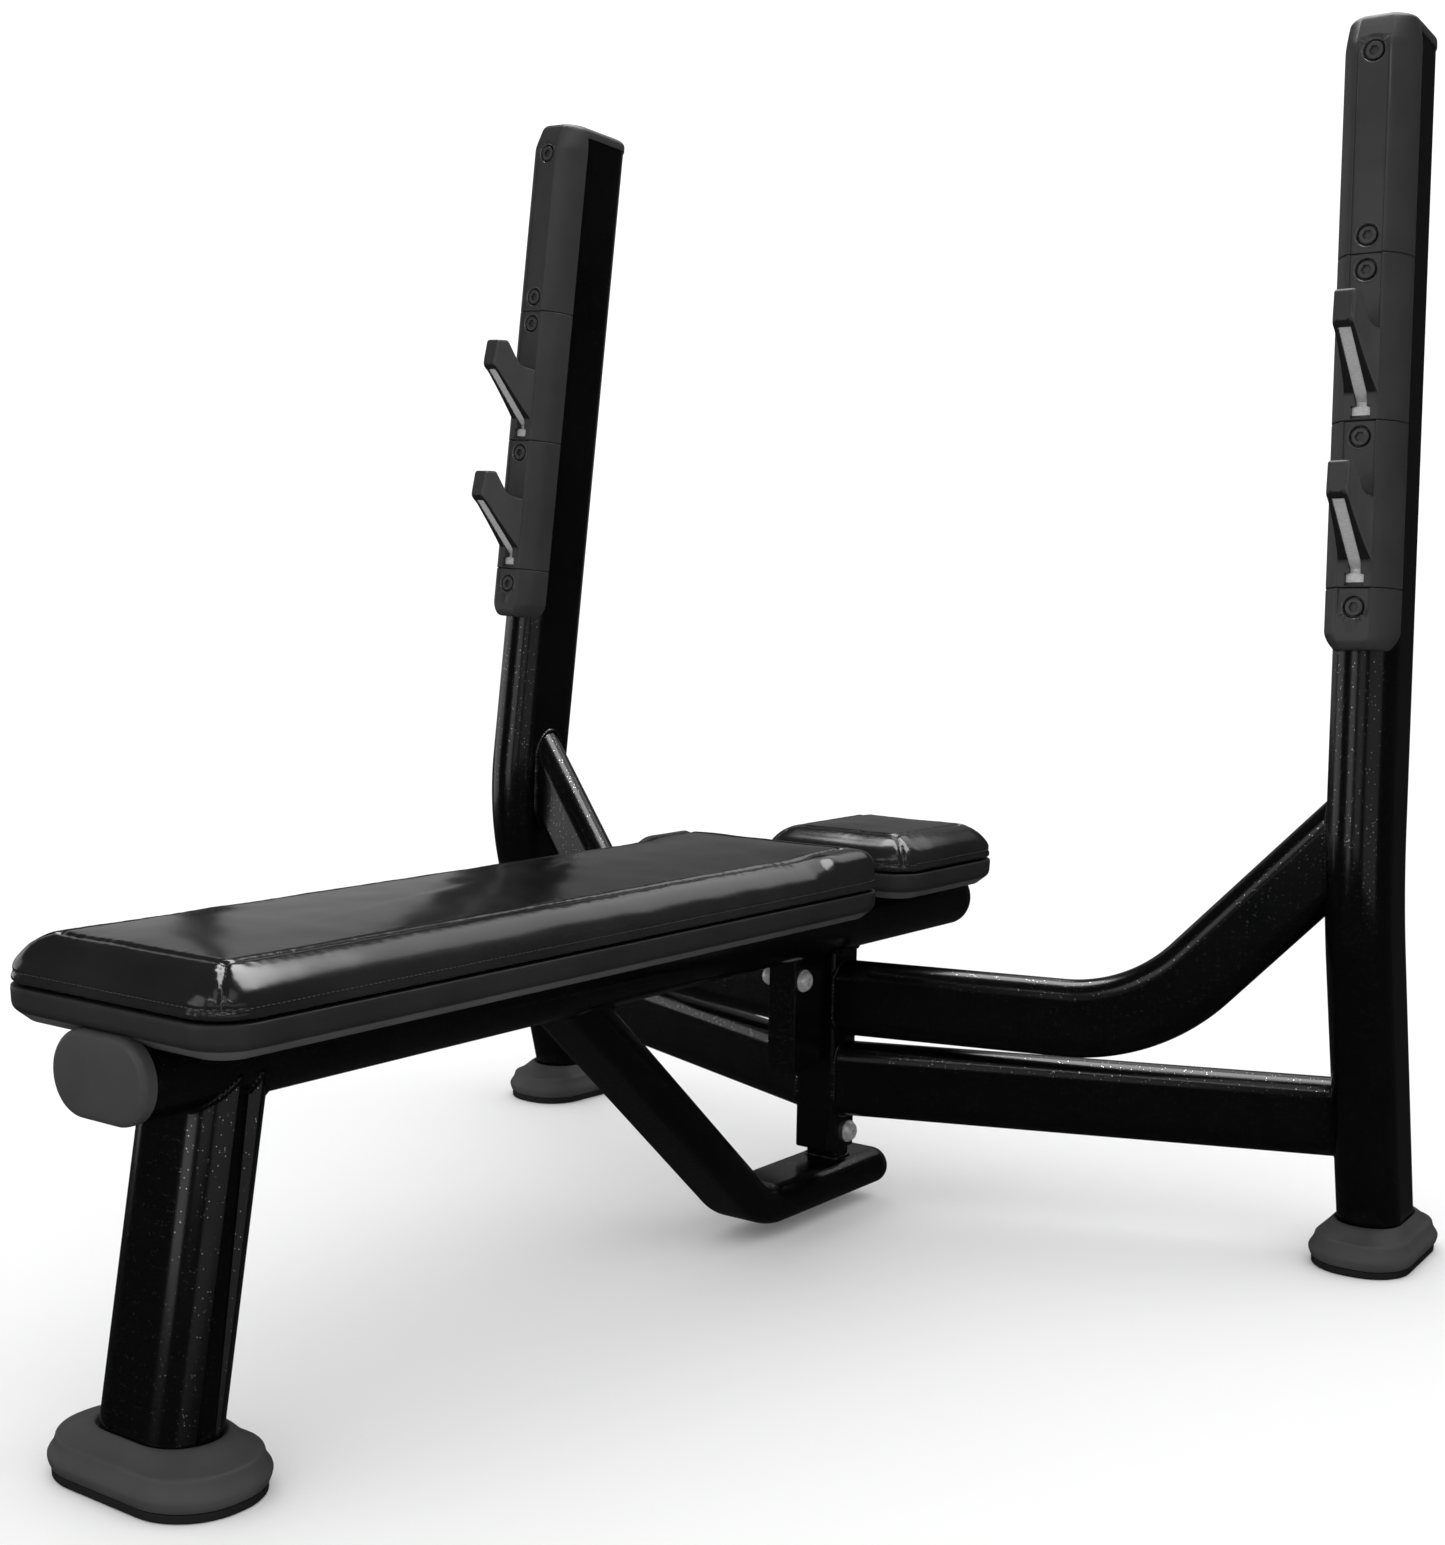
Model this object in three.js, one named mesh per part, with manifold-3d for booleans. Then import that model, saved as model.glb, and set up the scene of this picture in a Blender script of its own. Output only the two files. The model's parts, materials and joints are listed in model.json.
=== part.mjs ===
// Olympic bench press: a flat bench bolted to a two-post rack, welded from obround steel tube.
// Millimetres. +Z is up, +Y runs from the foot end to the rack, +X is the bench's right-hand side.
// The floor is z = 0. All Y values are counted from the front of the posts at their kink, and
// the finished group is moved so that its origin is under the middle of the whole bench.
import * as THREE from "three";
import { mergeVertices } from "three/addons/utils/BufferGeometryUtils.js";
import Module from "manifold-3d";

const wasm = await Module();
wasm.setup();

// ---------------------------------------------------------------- driving dimensions
const GAP = 0.3; // clearance kept between neighbouring pieces
const WALL = 3; // wall of every tube
const DEGREE = Math.PI / 180;

const BEAM = { width: 110, height: 68, z: 336, front: -1076, rear: 149 };
const LEG = { width: 112, depth: 70, footY: -1037, slope: 0.165, top: 316 };
const BOOT = { base: 8, height: 46, waist: 26 };
const FRONT_BOOT = { width: 200, depth: 122, corner: 58, y: -1032 };
const POST_BOOT = { width: 110, depth: 188, corner: 50, x: 567, y: 153 };

const POST = { spacing: 575, width: 68, depth: 110, kinkZ: 401, top: 892, bendRadius: 380 };
const LEAN_BACK = 4.75 * DEGREE; // upper part of each post, away from the lifter
const LEAN_IN = 2 * DEGREE; // upper part of each post, towards the other one
const TOE_IN = 3 * DEGREE; // both posts turned about the vertical
const LOWER_SLOPE = 0.275; // run per unit of drop below the kink

const ARM = { thick: 42, tall: 86, rootY: -80 };
const LOWER_ARM = { angle: 21.3 * DEGREE, z: 152 };
const UPPER_ARM = { angle: 14.5 * DEGREE, z: 246, bendAt: 363, rise: 46.5 * DEGREE, bendRadius: 200 };

const BRACE = { width: 86, height: 42, z: 36, slope: 41.5 * DEGREE, bendY: -231, rear: -8, bendRadius: 75 };

const COLUMN = { size: 50, wall: 4, corner: 6, front: -97, bottom: 70, top: 301.7 };
const BRACKET = { width: 36, cheek: 5, front: -166, bottom: 172 };
const LUG_WIDTH = 25.4;
const TONGUE = { width: 41.4, front: -78, rear: -52, top: 112 };
const UPPER_BOLT = { y: -150.5, z: 275, halfGrip: 18 };
const LOWER_BOLT = { y: -62, z: 88, halfGrip: 25 };
const CROSS_BOLT = { shank: 6, hole: 6.4, halfReach: 60 };

const COVER = { half: 38, front: -19, rear: 18, shoulderX: 37, shoulderY: -6, panelHalf: 16, panelStep: 1.5 };
const SEAM = { bottom: 259, lowerHook: 321, hookLength: 167, toScrew: 16, aboveTopSeam: 18.5 };
// The lid's rings: height above the post's end, inset all round, and how far the front is set back.
const LID = {
  half: 35.5,
  rings: [[-22, 0, 0], [-8, 0, 4], [0, 0.8, 7], [3.5, 3, 10], [6, 8, 14], [7.5, 16, 20]],
};
const HOOK = { tipHalf: 11, rootHalf: 17.5, plate: 12, tip: -86 };
const SCREW = { head: 9, headHeight: 5, shank: 4, socket: 5.2, pocket: 12, pocketFloor: -13, end: 7 };

const BACK_PAD = { half: 137, front: -1087, rear: -166, seam: 396, top: 438 };
const HEAD_PAD = { half: 104, front: -78, rear: 143, seam: 396, top: 437 };
const PAD_SHELL_Z = { bottom: 362, top: 386 };
const PAD_BOLT = { head: 7.5, headHeight: 5.5, shank: 4, hole: 4.6, top: 379.5 };

// ---------------------------------------------------------------- materials
const finish = (color, roughness, metalness) =>
  new THREE.MeshStandardMaterial({ color, roughness, metalness });
const BLACK_PAINT = finish(0x0b0b0c, 0.25, 0.2);
const GREY_COVER = finish(0x3a3a3b, 0.5, 0);
const GREY_RUBBER = finish(0x4a4a4b, 0.8, 0);
const BLACK_RUBBER = finish(0x101010, 0.85, 0);
const BLACK_PLASTIC = finish(0x0d0d0e, 0.35, 0);
const VINYL = finish(0x17171a, 0.35, 0);
const PAD_SHELL = finish(0x2b2b2d, 0.55, 0);
const ZINC = finish(0xb4b4b6, 0.35, 1);
const STRIP_STEEL = finish(0xa8a8aa, 0.4, 0.9);
const BLACK_STEEL = finish(0x1a1a1b, 0.4, 0.8);

const V = (x, y, z) => new THREE.Vector3(x, y, z);
const P = (x, y) => new THREE.Vector2(x, y);

// ---------------------------------------------------------------- booleans
function solidOf(geometry) {
  const bare = geometry.clone();
  bare.deleteAttribute("normal");
  bare.deleteAttribute("uv");
  const merged = mergeVertices(bare, 1e-4);
  return new wasm.Manifold(
    new wasm.Mesh({
      numProp: 3,
      vertProperties: merged.attributes.position.array,
      triVerts: new Uint32Array(merged.index.array),
    }),
  );
}

function geometryOf(solid) {
  const mesh = solid.getMesh();
  const geometry = new THREE.BufferGeometry();
  geometry.setAttribute("position", new THREE.BufferAttribute(mesh.vertProperties, 3));
  geometry.setIndex(new THREE.BufferAttribute(mesh.triVerts, 1));
  return geometry;
}

function cut(geometry, ...tools) {
  let solid = solidOf(geometry);
  for (const tool of tools) solid = solid.subtract(solidOf(tool));
  return geometryOf(solid);
}

// The largest of the bodies that a cut leaves.
function largestBody(geometry) {
  const bodies = solidOf(geometry).decompose();
  bodies.sort((a, b) => b.volume() - a.volume());
  return geometryOf(bodies[0]);
}

function join(...geometries) {
  let solid = solidOf(geometries[0]);
  for (const other of geometries.slice(1)) solid = solid.add(solidOf(other));
  return geometryOf(solid);
}

// ---------------------------------------------------------------- outlines and sweeps
const ROUND_STEPS = 8; // segments of a half circle
const BEND_STEPS = 5; // segments of a bend
const HOLE_SIDES = 12; // sides of a drilled hole
const HEX_SIDES = 6; // sides of a bolt's head and of a screw's socket
const TURNED_SIDES = 16; // sides of a turned piece

// An obround: two half circles joined by straight sides, long axis along the larger size.
function obround(width, height, steps = ROUND_STEPS) {
  const radius = Math.min(width, height) / 2;
  const reachX = width / 2 - radius;
  const reachY = height / 2 - radius;
  const firstAngle = reachX > 0 ? -Math.PI / 2 : 0;
  const points = [];
  for (const end of [0, 1]) {
    const sign = end ? -1 : 1;
    for (let i = 0; i <= steps; i++) {
      const angle = firstAngle + Math.PI * (end + i / steps);
      points.push(
        new THREE.Vector2(sign * reachX + radius * Math.cos(angle), sign * reachY + radius * Math.sin(angle)),
      );
    }
  }
  return points;
}

// A rectangle with rounded corners.
function roundedBox(width, height, radius, steps = 6) {
  const points = [];
  for (let corner = 0; corner < 4; corner++) {
    const signX = corner === 0 || corner === 3 ? 1 : -1;
    const signY = corner < 2 ? 1 : -1;
    for (let i = 0; i <= steps; i++) {
      const angle = (Math.PI / 2) * (corner + i / steps);
      points.push(
        new THREE.Vector2(
          signX * (width / 2 - radius) + radius * Math.cos(angle),
          signY * (height / 2 - radius) + radius * Math.sin(angle),
        ),
      );
    }
  }
  return points;
}

// A straight prism from a list of points, standing on z = from.
function prism(points, from, to) {
  const geometry = new THREE.ExtrudeGeometry(new THREE.Shape(points), {
    depth: to - from,
    bevelEnabled: false,
  });
  return geometry.translate(0, 0, from);
}

function box(x0, x1, y0, y1, z0, z1) {
  const geometry = new THREE.BoxGeometry(x1 - x0, y1 - y0, z1 - z0);
  return geometry.translate((x0 + x1) / 2, (y0 + y1) / 2, (z0 + z1) / 2);
}

// A path of straight runs with round bends, which gives a section only where the path turns.
// "across" is the direction in which the section's own x axis points.
class BentPath extends THREE.Curve {
  constructor(corners, radius, across, overhang = 0) {
    super();
    this.stations = [];
    this.across = across;
    const last = corners.length - 1;
    const direction = (i) => corners[i + 1].clone().sub(corners[i]).normalize();
    this.addStation(corners[0].clone().addScaledVector(direction(0), -overhang), direction(0));
    for (let i = 1; i < last; i++) {
      const before = direction(i - 1);
      const after = direction(i);
      const turn = before.angleTo(after);
      const axis = before.clone().cross(after).normalize();
      const inward = axis.clone().cross(before);
      const start = corners[i].clone().addScaledVector(before, -radius * Math.tan(turn / 2));
      const centre = start.clone().addScaledVector(inward, radius);
      for (let k = 0; k <= BEND_STEPS; k++) {
        const angle = (turn * k) / BEND_STEPS;
        const spoke = start.clone().sub(centre).applyAxisAngle(axis, angle);
        this.addStation(centre.clone().add(spoke), before.clone().applyAxisAngle(axis, angle));
      }
    }
    const outward = direction(last - 1);
    this.addStation(corners[last].clone().addScaledVector(outward, overhang), outward);
  }

  addStation(point, tangent) {
    this.stations.push({ point, tangent });
  }

  get steps() {
    return this.stations.length - 1;
  }

  station(t) {
    return this.stations[Math.round(t * this.steps)];
  }

  getPoint(t) {
    return this.station(t).point.clone();
  }

  getPointAt(t) {
    return this.getPoint(t);
  }

  getTangent(t) {
    return this.station(t).tangent.clone();
  }

  getTangentAt(t) {
    return this.getTangent(t);
  }

  getSpacedPoints(count) {
    return this.getPoints(count);
  }

  computeFrenetFrames() {
    const tangents = this.stations.map((station) => station.tangent);
    const normals = tangents.map((tangent) => this.across.clone().projectOnPlane(tangent).normalize());
    const binormals = tangents.map((tangent, i) => tangent.clone().cross(normals[i]));
    return { tangents, normals, binormals };
  }
}

function sweep(points, path) {
  return new THREE.ExtrudeGeometry(new THREE.Shape(points), { steps: path.steps, extrudePath: path });
}

// A solid bar with a tube's outline, made "extra" larger all round.
function bar(width, height, corners, radius, extra = 0, overhang = 0, across = V(1, 0, 0)) {
  return sweep(
    obround(width + 2 * extra, height + 2 * extra),
    new BentPath(corners, radius, across, overhang),
  );
}

// A hollow tube with open ends.
function tube(width, height, corners, radius, across = V(1, 0, 0)) {
  const outer = bar(width, height, corners, radius, 0, 0, across);
  return cut(outer, bar(width, height, corners, radius, -WALL, 5, across));
}

// A loft through horizontal outlines that all have the same number of points.
function loft(rings) {
  const count = rings[0].points.length;
  const positions = [];
  const faces = [];
  for (const ring of rings) {
    for (const p of ring.points) positions.push(p.x + (ring.x ?? 0), p.y + (ring.y ?? 0), ring.z);
  }
  for (let k = 0; k < rings.length - 1; k++) {
    for (let i = 0; i < count; i++) {
      const a = k * count + i;
      const b = k * count + ((i + 1) % count);
      faces.push(a, b, b + count, a, b + count, a + count);
    }
  }
  const top = (rings.length - 1) * count;
  for (const [i, j, k] of THREE.ShapeUtils.triangulateShape(rings[0].points, [])) {
    faces.push(k, j, i);
  }
  for (const [i, j, k] of THREE.ShapeUtils.triangulateShape(rings.at(-1).points, [])) {
    faces.push(top + i, top + j, top + k);
  }
  const geometry = new THREE.BufferGeometry();
  geometry.setAttribute("position", new THREE.Float32BufferAttribute(positions, 3));
  geometry.setIndex(faces);
  return geometry;
}

// ---------------------------------------------------------------- the assembly
const bench = new THREE.Group();

function add(name, geometry, material, parent = bench) {
  const mesh = new THREE.Mesh(geometry, material);
  mesh.name = name;
  parent.add(mesh);
  return mesh;
}

// ---------------------------------------------------------------- seat beam, leg and brace
const CAP_PROUD = 1;
const beamEnds = [V(0, BEAM.front, BEAM.z), V(0, BEAM.rear, BEAM.z)];
const beamBar = (extra) => bar(BEAM.width, BEAM.height, beamEnds, 0, extra, 30);
const padBoltYs = { back: [-930, -330], head: [-18, 84] };

function drill(radius, from, to) {
  const along = to.clone().sub(from);
  const geometry = new THREE.CylinderGeometry(radius, radius, along.length(), HOLE_SIDES);
  geometry.applyQuaternion(new THREE.Quaternion().setFromUnitVectors(V(0, 1, 0), along.clone().normalize()));
  const middle = from.clone().add(to).multiplyScalar(0.5);
  return geometry.translate(middle.x, middle.y, middle.z);
}

const padBoltHole = (y) => drill(PAD_BOLT.hole, V(0, y, BEAM.z - 46), V(0, y, PAD_BOLT.top + 1.5));
const boltHoles = [...padBoltYs.back, ...padBoltYs.head].map(padBoltHole);
add("seat_beam", cut(tube(BEAM.width, BEAM.height, beamEnds, 0), ...boltHoles), BLACK_PAINT);

// A plug for a tube that runs along Y: a rounded head outside and a spigot inside the wall.
function tubePlug(width, height, proud, thickness, round, spigot) {
  const across = (extra) => obround(width + 2 * extra, height + 2 * extra);
  const head = loft([
    { points: across(proud), z: GAP },
    { points: across(proud), z: thickness - round },
    { points: across(proud - 0.3 * round), z: thickness - 0.3 * round },
    { points: across(proud - round), z: thickness },
  ]);
  const plug = loft([
    { points: across(-WALL - 2 * GAP), z: -spigot },
    { points: across(-WALL - 2 * GAP), z: GAP + 1 },
  ]);
  return join(head, plug).rotateX(Math.PI / 2);
}

const frontPlug = add("beam_front_cap", tubePlug(BEAM.width, BEAM.height, CAP_PROUD, 15, 5, 22), GREY_COVER);
frontPlug.position.set(0, BEAM.front, BEAM.z);
const rearPlug = add("beam_rear_cap", tubePlug(BEAM.width, BEAM.height, 0, 14, 9, 22), BLACK_PLASTIC);
rearPlug.position.set(0, BEAM.rear, BEAM.z);
rearPlug.rotation.z = Math.PI;

const belowFloorLine = box(-900, 900, -1300, 400, -200, BOOT.base + 1);
const legPoint = (z) => V(0, LEG.footY + LEG.slope * z, z);
const legEnds = [legPoint(-30), legPoint(LEG.top)];
add(
  "front_leg",
  cut(tube(LEG.width, LEG.depth, legEnds, 0), belowFloorLine, beamBar(GAP)),
  BLACK_PAINT,
);

const braceStart = V(0, BRACE.bendY - (BEAM.z - BRACE.z) / Math.tan(BRACE.slope), BEAM.z);
const braceCorners = [braceStart, V(0, BRACE.bendY, BRACE.z), V(0, BRACE.rear, BRACE.z)];
add(
  "brace_tube",
  cut(tube(BRACE.width, BRACE.height, braceCorners, BRACE.bendRadius), beamBar(GAP)),
  BLACK_PAINT,
);
const bracePlug = add("brace_end_cap", tubePlug(BRACE.width, BRACE.height, 0, 15, 11, 18), BLACK_PLASTIC);
bracePlug.position.set(0, BRACE.rear, BRACE.z);
bracePlug.rotation.z = Math.PI;

// ---------------------------------------------------------------- centre column and its bolted joints
const columnY = COLUMN.front + COLUMN.size / 2;
function columnSolid(extra, from, to) {
  const size = COLUMN.size + 2 * extra;
  return prism(roundedBox(size, size, COLUMN.corner + extra), from, to).translate(0, columnY, 0);
}
function crossHole({ y, z }) {
  const { hole, halfReach } = CROSS_BOLT;
  return drill(hole, V(-halfReach, y, z), V(halfReach, y, z));
}
const lowerBoltHole = crossHole(LOWER_BOLT);
const upperBoltHole = crossHole(UPPER_BOLT);
add(
  "centre_post",
  cut(
    columnSolid(0, COLUMN.bottom, COLUMN.top),
    columnSolid(-COLUMN.wall, COLUMN.bottom - 5, COLUMN.top + 5),
    lowerBoltHole,
  ),
  BLACK_PAINT,
);
add(
  "post_lug",
  cut(
    box(-LUG_WIDTH / 2, LUG_WIDTH / 2, BRACKET.front + BRACKET.cheek + 2, COLUMN.front - GAP, 182, 293),
    upperBoltHole,
  ),
  BLACK_PAINT,
);
add(
  "beam_bracket",
  cut(
    box(-BRACKET.width / 2, BRACKET.width / 2, BRACKET.front, COLUMN.front - 14, BRACKET.bottom, COLUMN.top),
    box(
      BRACKET.cheek - BRACKET.width / 2,
      BRACKET.width / 2 - BRACKET.cheek,
      BRACKET.front + BRACKET.cheek,
      COLUMN.front,
      BRACKET.bottom - 5,
      COLUMN.top + 5,
    ),
    upperBoltHole,
  ),
  BLACK_PAINT,
);
add(
  "brace_tongue",
  cut(
    box(-TONGUE.width / 2, TONGUE.width / 2, TONGUE.front, TONGUE.rear, BRACE.z, TONGUE.top),
    bar(BRACE.width, BRACE.height, braceCorners, BRACE.bendRadius, GAP),
    lowerBoltHole,
  ),
  BLACK_PAINT,
);

const revolve = (profile, segments) =>
  new THREE.LatheGeometry(profile.map(([radius, height]) => P(radius, height)), segments);

// A cross bolt along X with a domed head at +X, and a domed nut that closes it at -X.
function crossBolt(name, at) {
  const grip = at.halfGrip + GAP;
  const { shank } = CROSS_BOLT;
  const bolt = revolve(
    [
      [0, -grip - 8], [shank, -grip - 8], [shank, grip], [12, grip], [12, grip + 2],
      [10.5, grip + 5], [6, grip + 7.6], [0, grip + 8.5],
    ],
    TURNED_SIDES,
  );
  const nut = revolve(
    [
      [0, -grip - 16], [4.5, -grip - 15], [8.5, -grip - 12], [10, -grip - 8], [10, -grip],
      [shank + GAP, -grip], [shank + GAP, -grip - 8.4], [0, -grip - 8.4],
    ],
    TURNED_SIDES,
  );
  add(name + "_bolt", bolt.rotateZ(-Math.PI / 2), ZINC).position.set(0, at.y, at.z);
  add(name + "_nut", nut.rotateZ(-Math.PI / 2), ZINC).position.set(0, at.y, at.z);
}
crossBolt("upper_column", UPPER_BOLT);
crossBolt("lower_column", LOWER_BOLT);

// ---------------------------------------------------------------- boots and base pads
const bootOutline = (size, extra) =>
  roundedBox(size.width + 2 * extra, size.depth + 2 * extra, size.corner + extra);

function bootShell(size, x, y, turn, hole) {
  const ring = (extra, z) => ({ points: bootOutline(size, extra), z });
  const shell = loft([
    ring(0, BOOT.base + GAP),
    ring(0, BOOT.base + 6),
    ring(-6, BOOT.waist),
    ring(-9, BOOT.waist + 4),
    ring(-15, BOOT.height - 2),
    ring(-17, BOOT.height),
  ]);
  return cut(shell.rotateZ(turn).translate(x, y, 0), hole);
}

function basePad(size, x, y, turn) {
  const points = bootOutline(size, -3);
  const pad = loft([
    { points, z: 0 },
    { points, z: BOOT.base },
  ]);
  return pad.rotateZ(turn).translate(x, y, 0);
}

const legEnvelope = bar(LEG.width, LEG.depth, legEnds, 0, GAP);
add("front_boot", bootShell(FRONT_BOOT, 0, FRONT_BOOT.y, 0, legEnvelope), GREY_RUBBER);
add("front_base_pad", basePad(FRONT_BOOT, 0, FRONT_BOOT.y, 0), BLACK_RUBBER);

// ---------------------------------------------------------------- posts
// A post's own frame has z up its upper part, y towards its rear and the kink's front at the origin.
function postFrame(side) {
  const frame = new THREE.Group();
  frame.position.set(side * POST.spacing, 0, POST.kinkZ);
  frame.rotation.set(-LEAN_BACK, -side * LEAN_IN, side * TOE_IN, "ZYX");
  frame.updateMatrixWorld(true);
  return frame;
}

function postCorners(side, frame) {
  const halfBend = (LEAN_BACK + Math.atan(LOWER_SLOPE)) / 2;
  const kink = V(0, POST.depth / 2, (POST.depth / 2) * Math.tan(halfBend)).applyMatrix4(frame.matrixWorld);
  const top = V(0, POST.depth / 2, POST.top).applyMatrix4(frame.matrixWorld);
  const down = V(-side * Math.sin(TOE_IN) * LOWER_SLOPE, Math.cos(TOE_IN) * LOWER_SLOPE, -1);
  const foot = kink.clone().addScaledVector(down, kink.z + 20);
  return [top, kink, foot];
}

function screwHole(height, frame) {
  const from = V(0, -40, height).applyMatrix4(frame.matrixWorld);
  const to = V(0, 20, height).applyMatrix4(frame.matrixWorld);
  return drill(SCREW.shank + 0.4, from, to);
}

// ---------------------------------------------------------------- wear covers
const topSeam = SEAM.lowerHook + 2 * SEAM.hookLength;
const SCREW_HEIGHT = {
  bottom: SEAM.lowerHook - 19.5,
  lowerHook: SEAM.lowerHook + SEAM.hookLength - SEAM.toScrew,
  upperHook: topSeam - SEAM.toScrew,
  topLower: topSeam + SEAM.aboveTopSeam,
  topUpper: POST.top - 34,
};

// The right-hand flank of a cover in plan, from its rear edge round to the middle panel.
function noseCurve(inset) {
  const { half, front, rear, shoulderX, shoulderY, panelHalf } = COVER;
  const flank = new THREE.QuadraticBezierCurve(
    P(half - inset, rear),
    P(shoulderX - inset, shoulderY + inset),
    P(panelHalf + 1, front + inset),
  );
  return flank.getPoints(6);
}

// Plan section of a cover: rounded flanks and a raised middle panel.
function coverOutline() {
  const { front, panelHalf, panelStep } = COVER;
  const rightSide = noseCurve(0);
  rightSide.push(P(panelHalf, front - panelStep));
  const leftSide = rightSide.map((p) => P(-p.x, p.y)).reverse();
  return [...rightSide, ...leftSide].reverse();
}

const coverSection = (from, to) => prism(coverOutline(), from + GAP / 2, to - GAP / 2);

// The room that a straight piece of post takes inside a cover.
function postRoom(to) {
  const clearance = 2 * (GAP + 0.2);
  const outline = obround(POST.width + clearance, POST.depth + clearance);
  return prism(outline, -50, to).translate(0, POST.depth / 2, 0);
}

function screwPocket(height) {
  const mouth = COVER.front - COVER.panelStep - 5;
  return [
    drill(SCREW.pocket, V(0, mouth, height), V(0, SCREW.pocketFloor, height)),
    drill(SCREW.shank + 0.4, V(0, mouth, height), V(0, 20, height)),
  ];
}

// A slab of a given thickness from an outline in the post's own (y, z) plane.
function sideSlab(outline, thickness) {
  const slab = new THREE.ExtrudeGeometry(new THREE.Shape(outline.map(([y, z]) => P(y, z))), {
    depth: thickness,
    bevelEnabled: false,
  });
  slab.translate(0, 0, -thickness / 2);
  return slab.rotateX(Math.PI / 2).rotateZ(Math.PI / 2);
}

// The outlines below count z from the bottom seam of the hook's cover.
const PRONG_OUTLINE = [
  [HOOK.tip, 116], [HOOK.tip + 3, 119], [-69, 121], [-66, 119.5], [-48, 98], [-40, 93.5], [-20.5, 91],
  [-10, 91], [-10, 14], [-20.5, 14], [-21.5, 26.5], [HOOK.tip - 3, 88],
];
const PLATE_OUTLINE = [
  [-84.5, 103], [-84.5, 85.5], [-12.5, 19.2], [-12.5, 3], [-0.4, 3], [-0.4, 83], [-40, 84.5], [-50, 90],
  [-66, 110], [-78, 111],
];
const SLOT_OUTLINE = [
  [-84.9, 103.4], [-84.9, 84.8], [-97, 81], [-40, 10], [-40, -10], [5, -10], [5, 83.4], [-39.8, 84.9],
  [-49.7, 90.4], [-65.8, 110.4], [-78.2, 111.4],
];
const FOOT = { half: 9.5, front: -15.5, rear: -9, low: 1.5, high: 14.5 };

// The prong is narrower at its tip than at its root.
function prong() {
  const flare = new THREE.Shape([
    P(-HOOK.tipHalf, HOOK.tip - 10), P(HOOK.tipHalf, HOOK.tip - 10), P(HOOK.tipHalf, HOOK.tip + 20),
    P(HOOK.rootHalf, -25), P(HOOK.rootHalf, 0), P(-HOOK.rootHalf, 0), P(-HOOK.rootHalf, -25),
    P(-HOOK.tipHalf, HOOK.tip + 20),
  ]);
  const envelope = new THREE.ExtrudeGeometry(flare, { depth: SEAM.hookLength, bevelEnabled: false });
  const slab = sideSlab(PRONG_OUTLINE, 2 * HOOK.rootHalf);
  return geometryOf(solidOf(slab).intersect(solidOf(envelope)));
}

// The steel plate that carries the bar, with a wide foot; it shows along the underside of the prong.
function hookPlate() {
  const foot = box(-FOOT.half, FOOT.half, FOOT.front, FOOT.rear, FOOT.low, FOOT.high);
  return join(sideSlab(PLATE_OUTLINE, HOOK.plate), foot);
}

function hookCover(bottom, screwHeight) {
  const body = coverSection(bottom, bottom + SEAM.hookLength);
  const slot = sideSlab(SLOT_OUTLINE, HOOK.plate + 2 * GAP);
  const footRoom = box(-FOOT.half - GAP, FOOT.half + GAP, -30, FOOT.rear + GAP, -5, FOOT.high + GAP);
  return cut(
    join(body, prong().translate(0, 0, bottom)),
    slot.translate(0, 0, bottom),
    footRoom.translate(0, 0, bottom),
    postRoom(POST.top),
    ...screwPocket(screwHeight),
  );
}

// The lowest cover has round lower corners, and its front curves back towards the post.
function bottomCover() {
  const from = SEAM.bottom;
  const corner = 18;
  const face = new THREE.Shape();
  face.absarc(-COVER.half + corner, from + corner, corner, Math.PI, 1.5 * Math.PI);
  face.absarc(COVER.half - corner, from + corner, corner, -Math.PI / 2, 0);
  face.lineTo(COVER.half, SEAM.lowerHook);
  face.lineTo(-COVER.half, SEAM.lowerHook);
  const front = new THREE.ExtrudeGeometry(face, { depth: 120, bevelEnabled: false, curveSegments: 6 });
  front.rotateX(Math.PI / 2).translate(0, 60, 0);
  const nose = COVER.front - COVER.panelStep;
  const chin = [[60, from], [-8, from], [nose + 4, from + 3], [nose, from + 12], [nose, 330], [60, 330]];
  const body = solidOf(coverSection(from - 5, SEAM.lowerHook));
  const rounded = geometryOf(body.intersect(solidOf(front)).intersect(solidOf(sideSlab(chin, 100))));
  return cut(rounded, postRoom(POST.top), ...screwPocket(SCREW_HEIGHT.bottom));
}

// Outline of the lid over the post's end: round at the rear, with the covers' flanks at the front.
function lidOutline(inset, setBack) {
  const half = LID.half - inset;
  const points = [];
  for (let i = 0; i <= ROUND_STEPS; i++) {
    const angle = (Math.PI * i) / ROUND_STEPS;
    points.push(P(half * Math.cos(angle), POST.depth - POST.width / 2 + half * Math.sin(angle)));
  }
  const right = noseCurve(inset).map((p) => P(p.x, p.y + setBack));
  const left = right.map((p) => P(-p.x, p.y));
  return [...points, ...left, ...right.reverse()];
}

// The top cover runs up the front of the post, leans back and closes over its end in a low dome.
function topCover() {
  const lid = loft(LID.rings.map(([height, inset, setBack]) => (
    { points: lidOutline(inset, setBack), z: POST.top + height }
  )));
  return cut(
    join(coverSection(topSeam, POST.top + LID.rings[0][0] + 1), lid),
    postRoom(POST.top + GAP),
    ...screwPocket(SCREW_HEIGHT.topLower),
    ...screwPocket(SCREW_HEIGHT.topUpper),
  );
}

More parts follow.
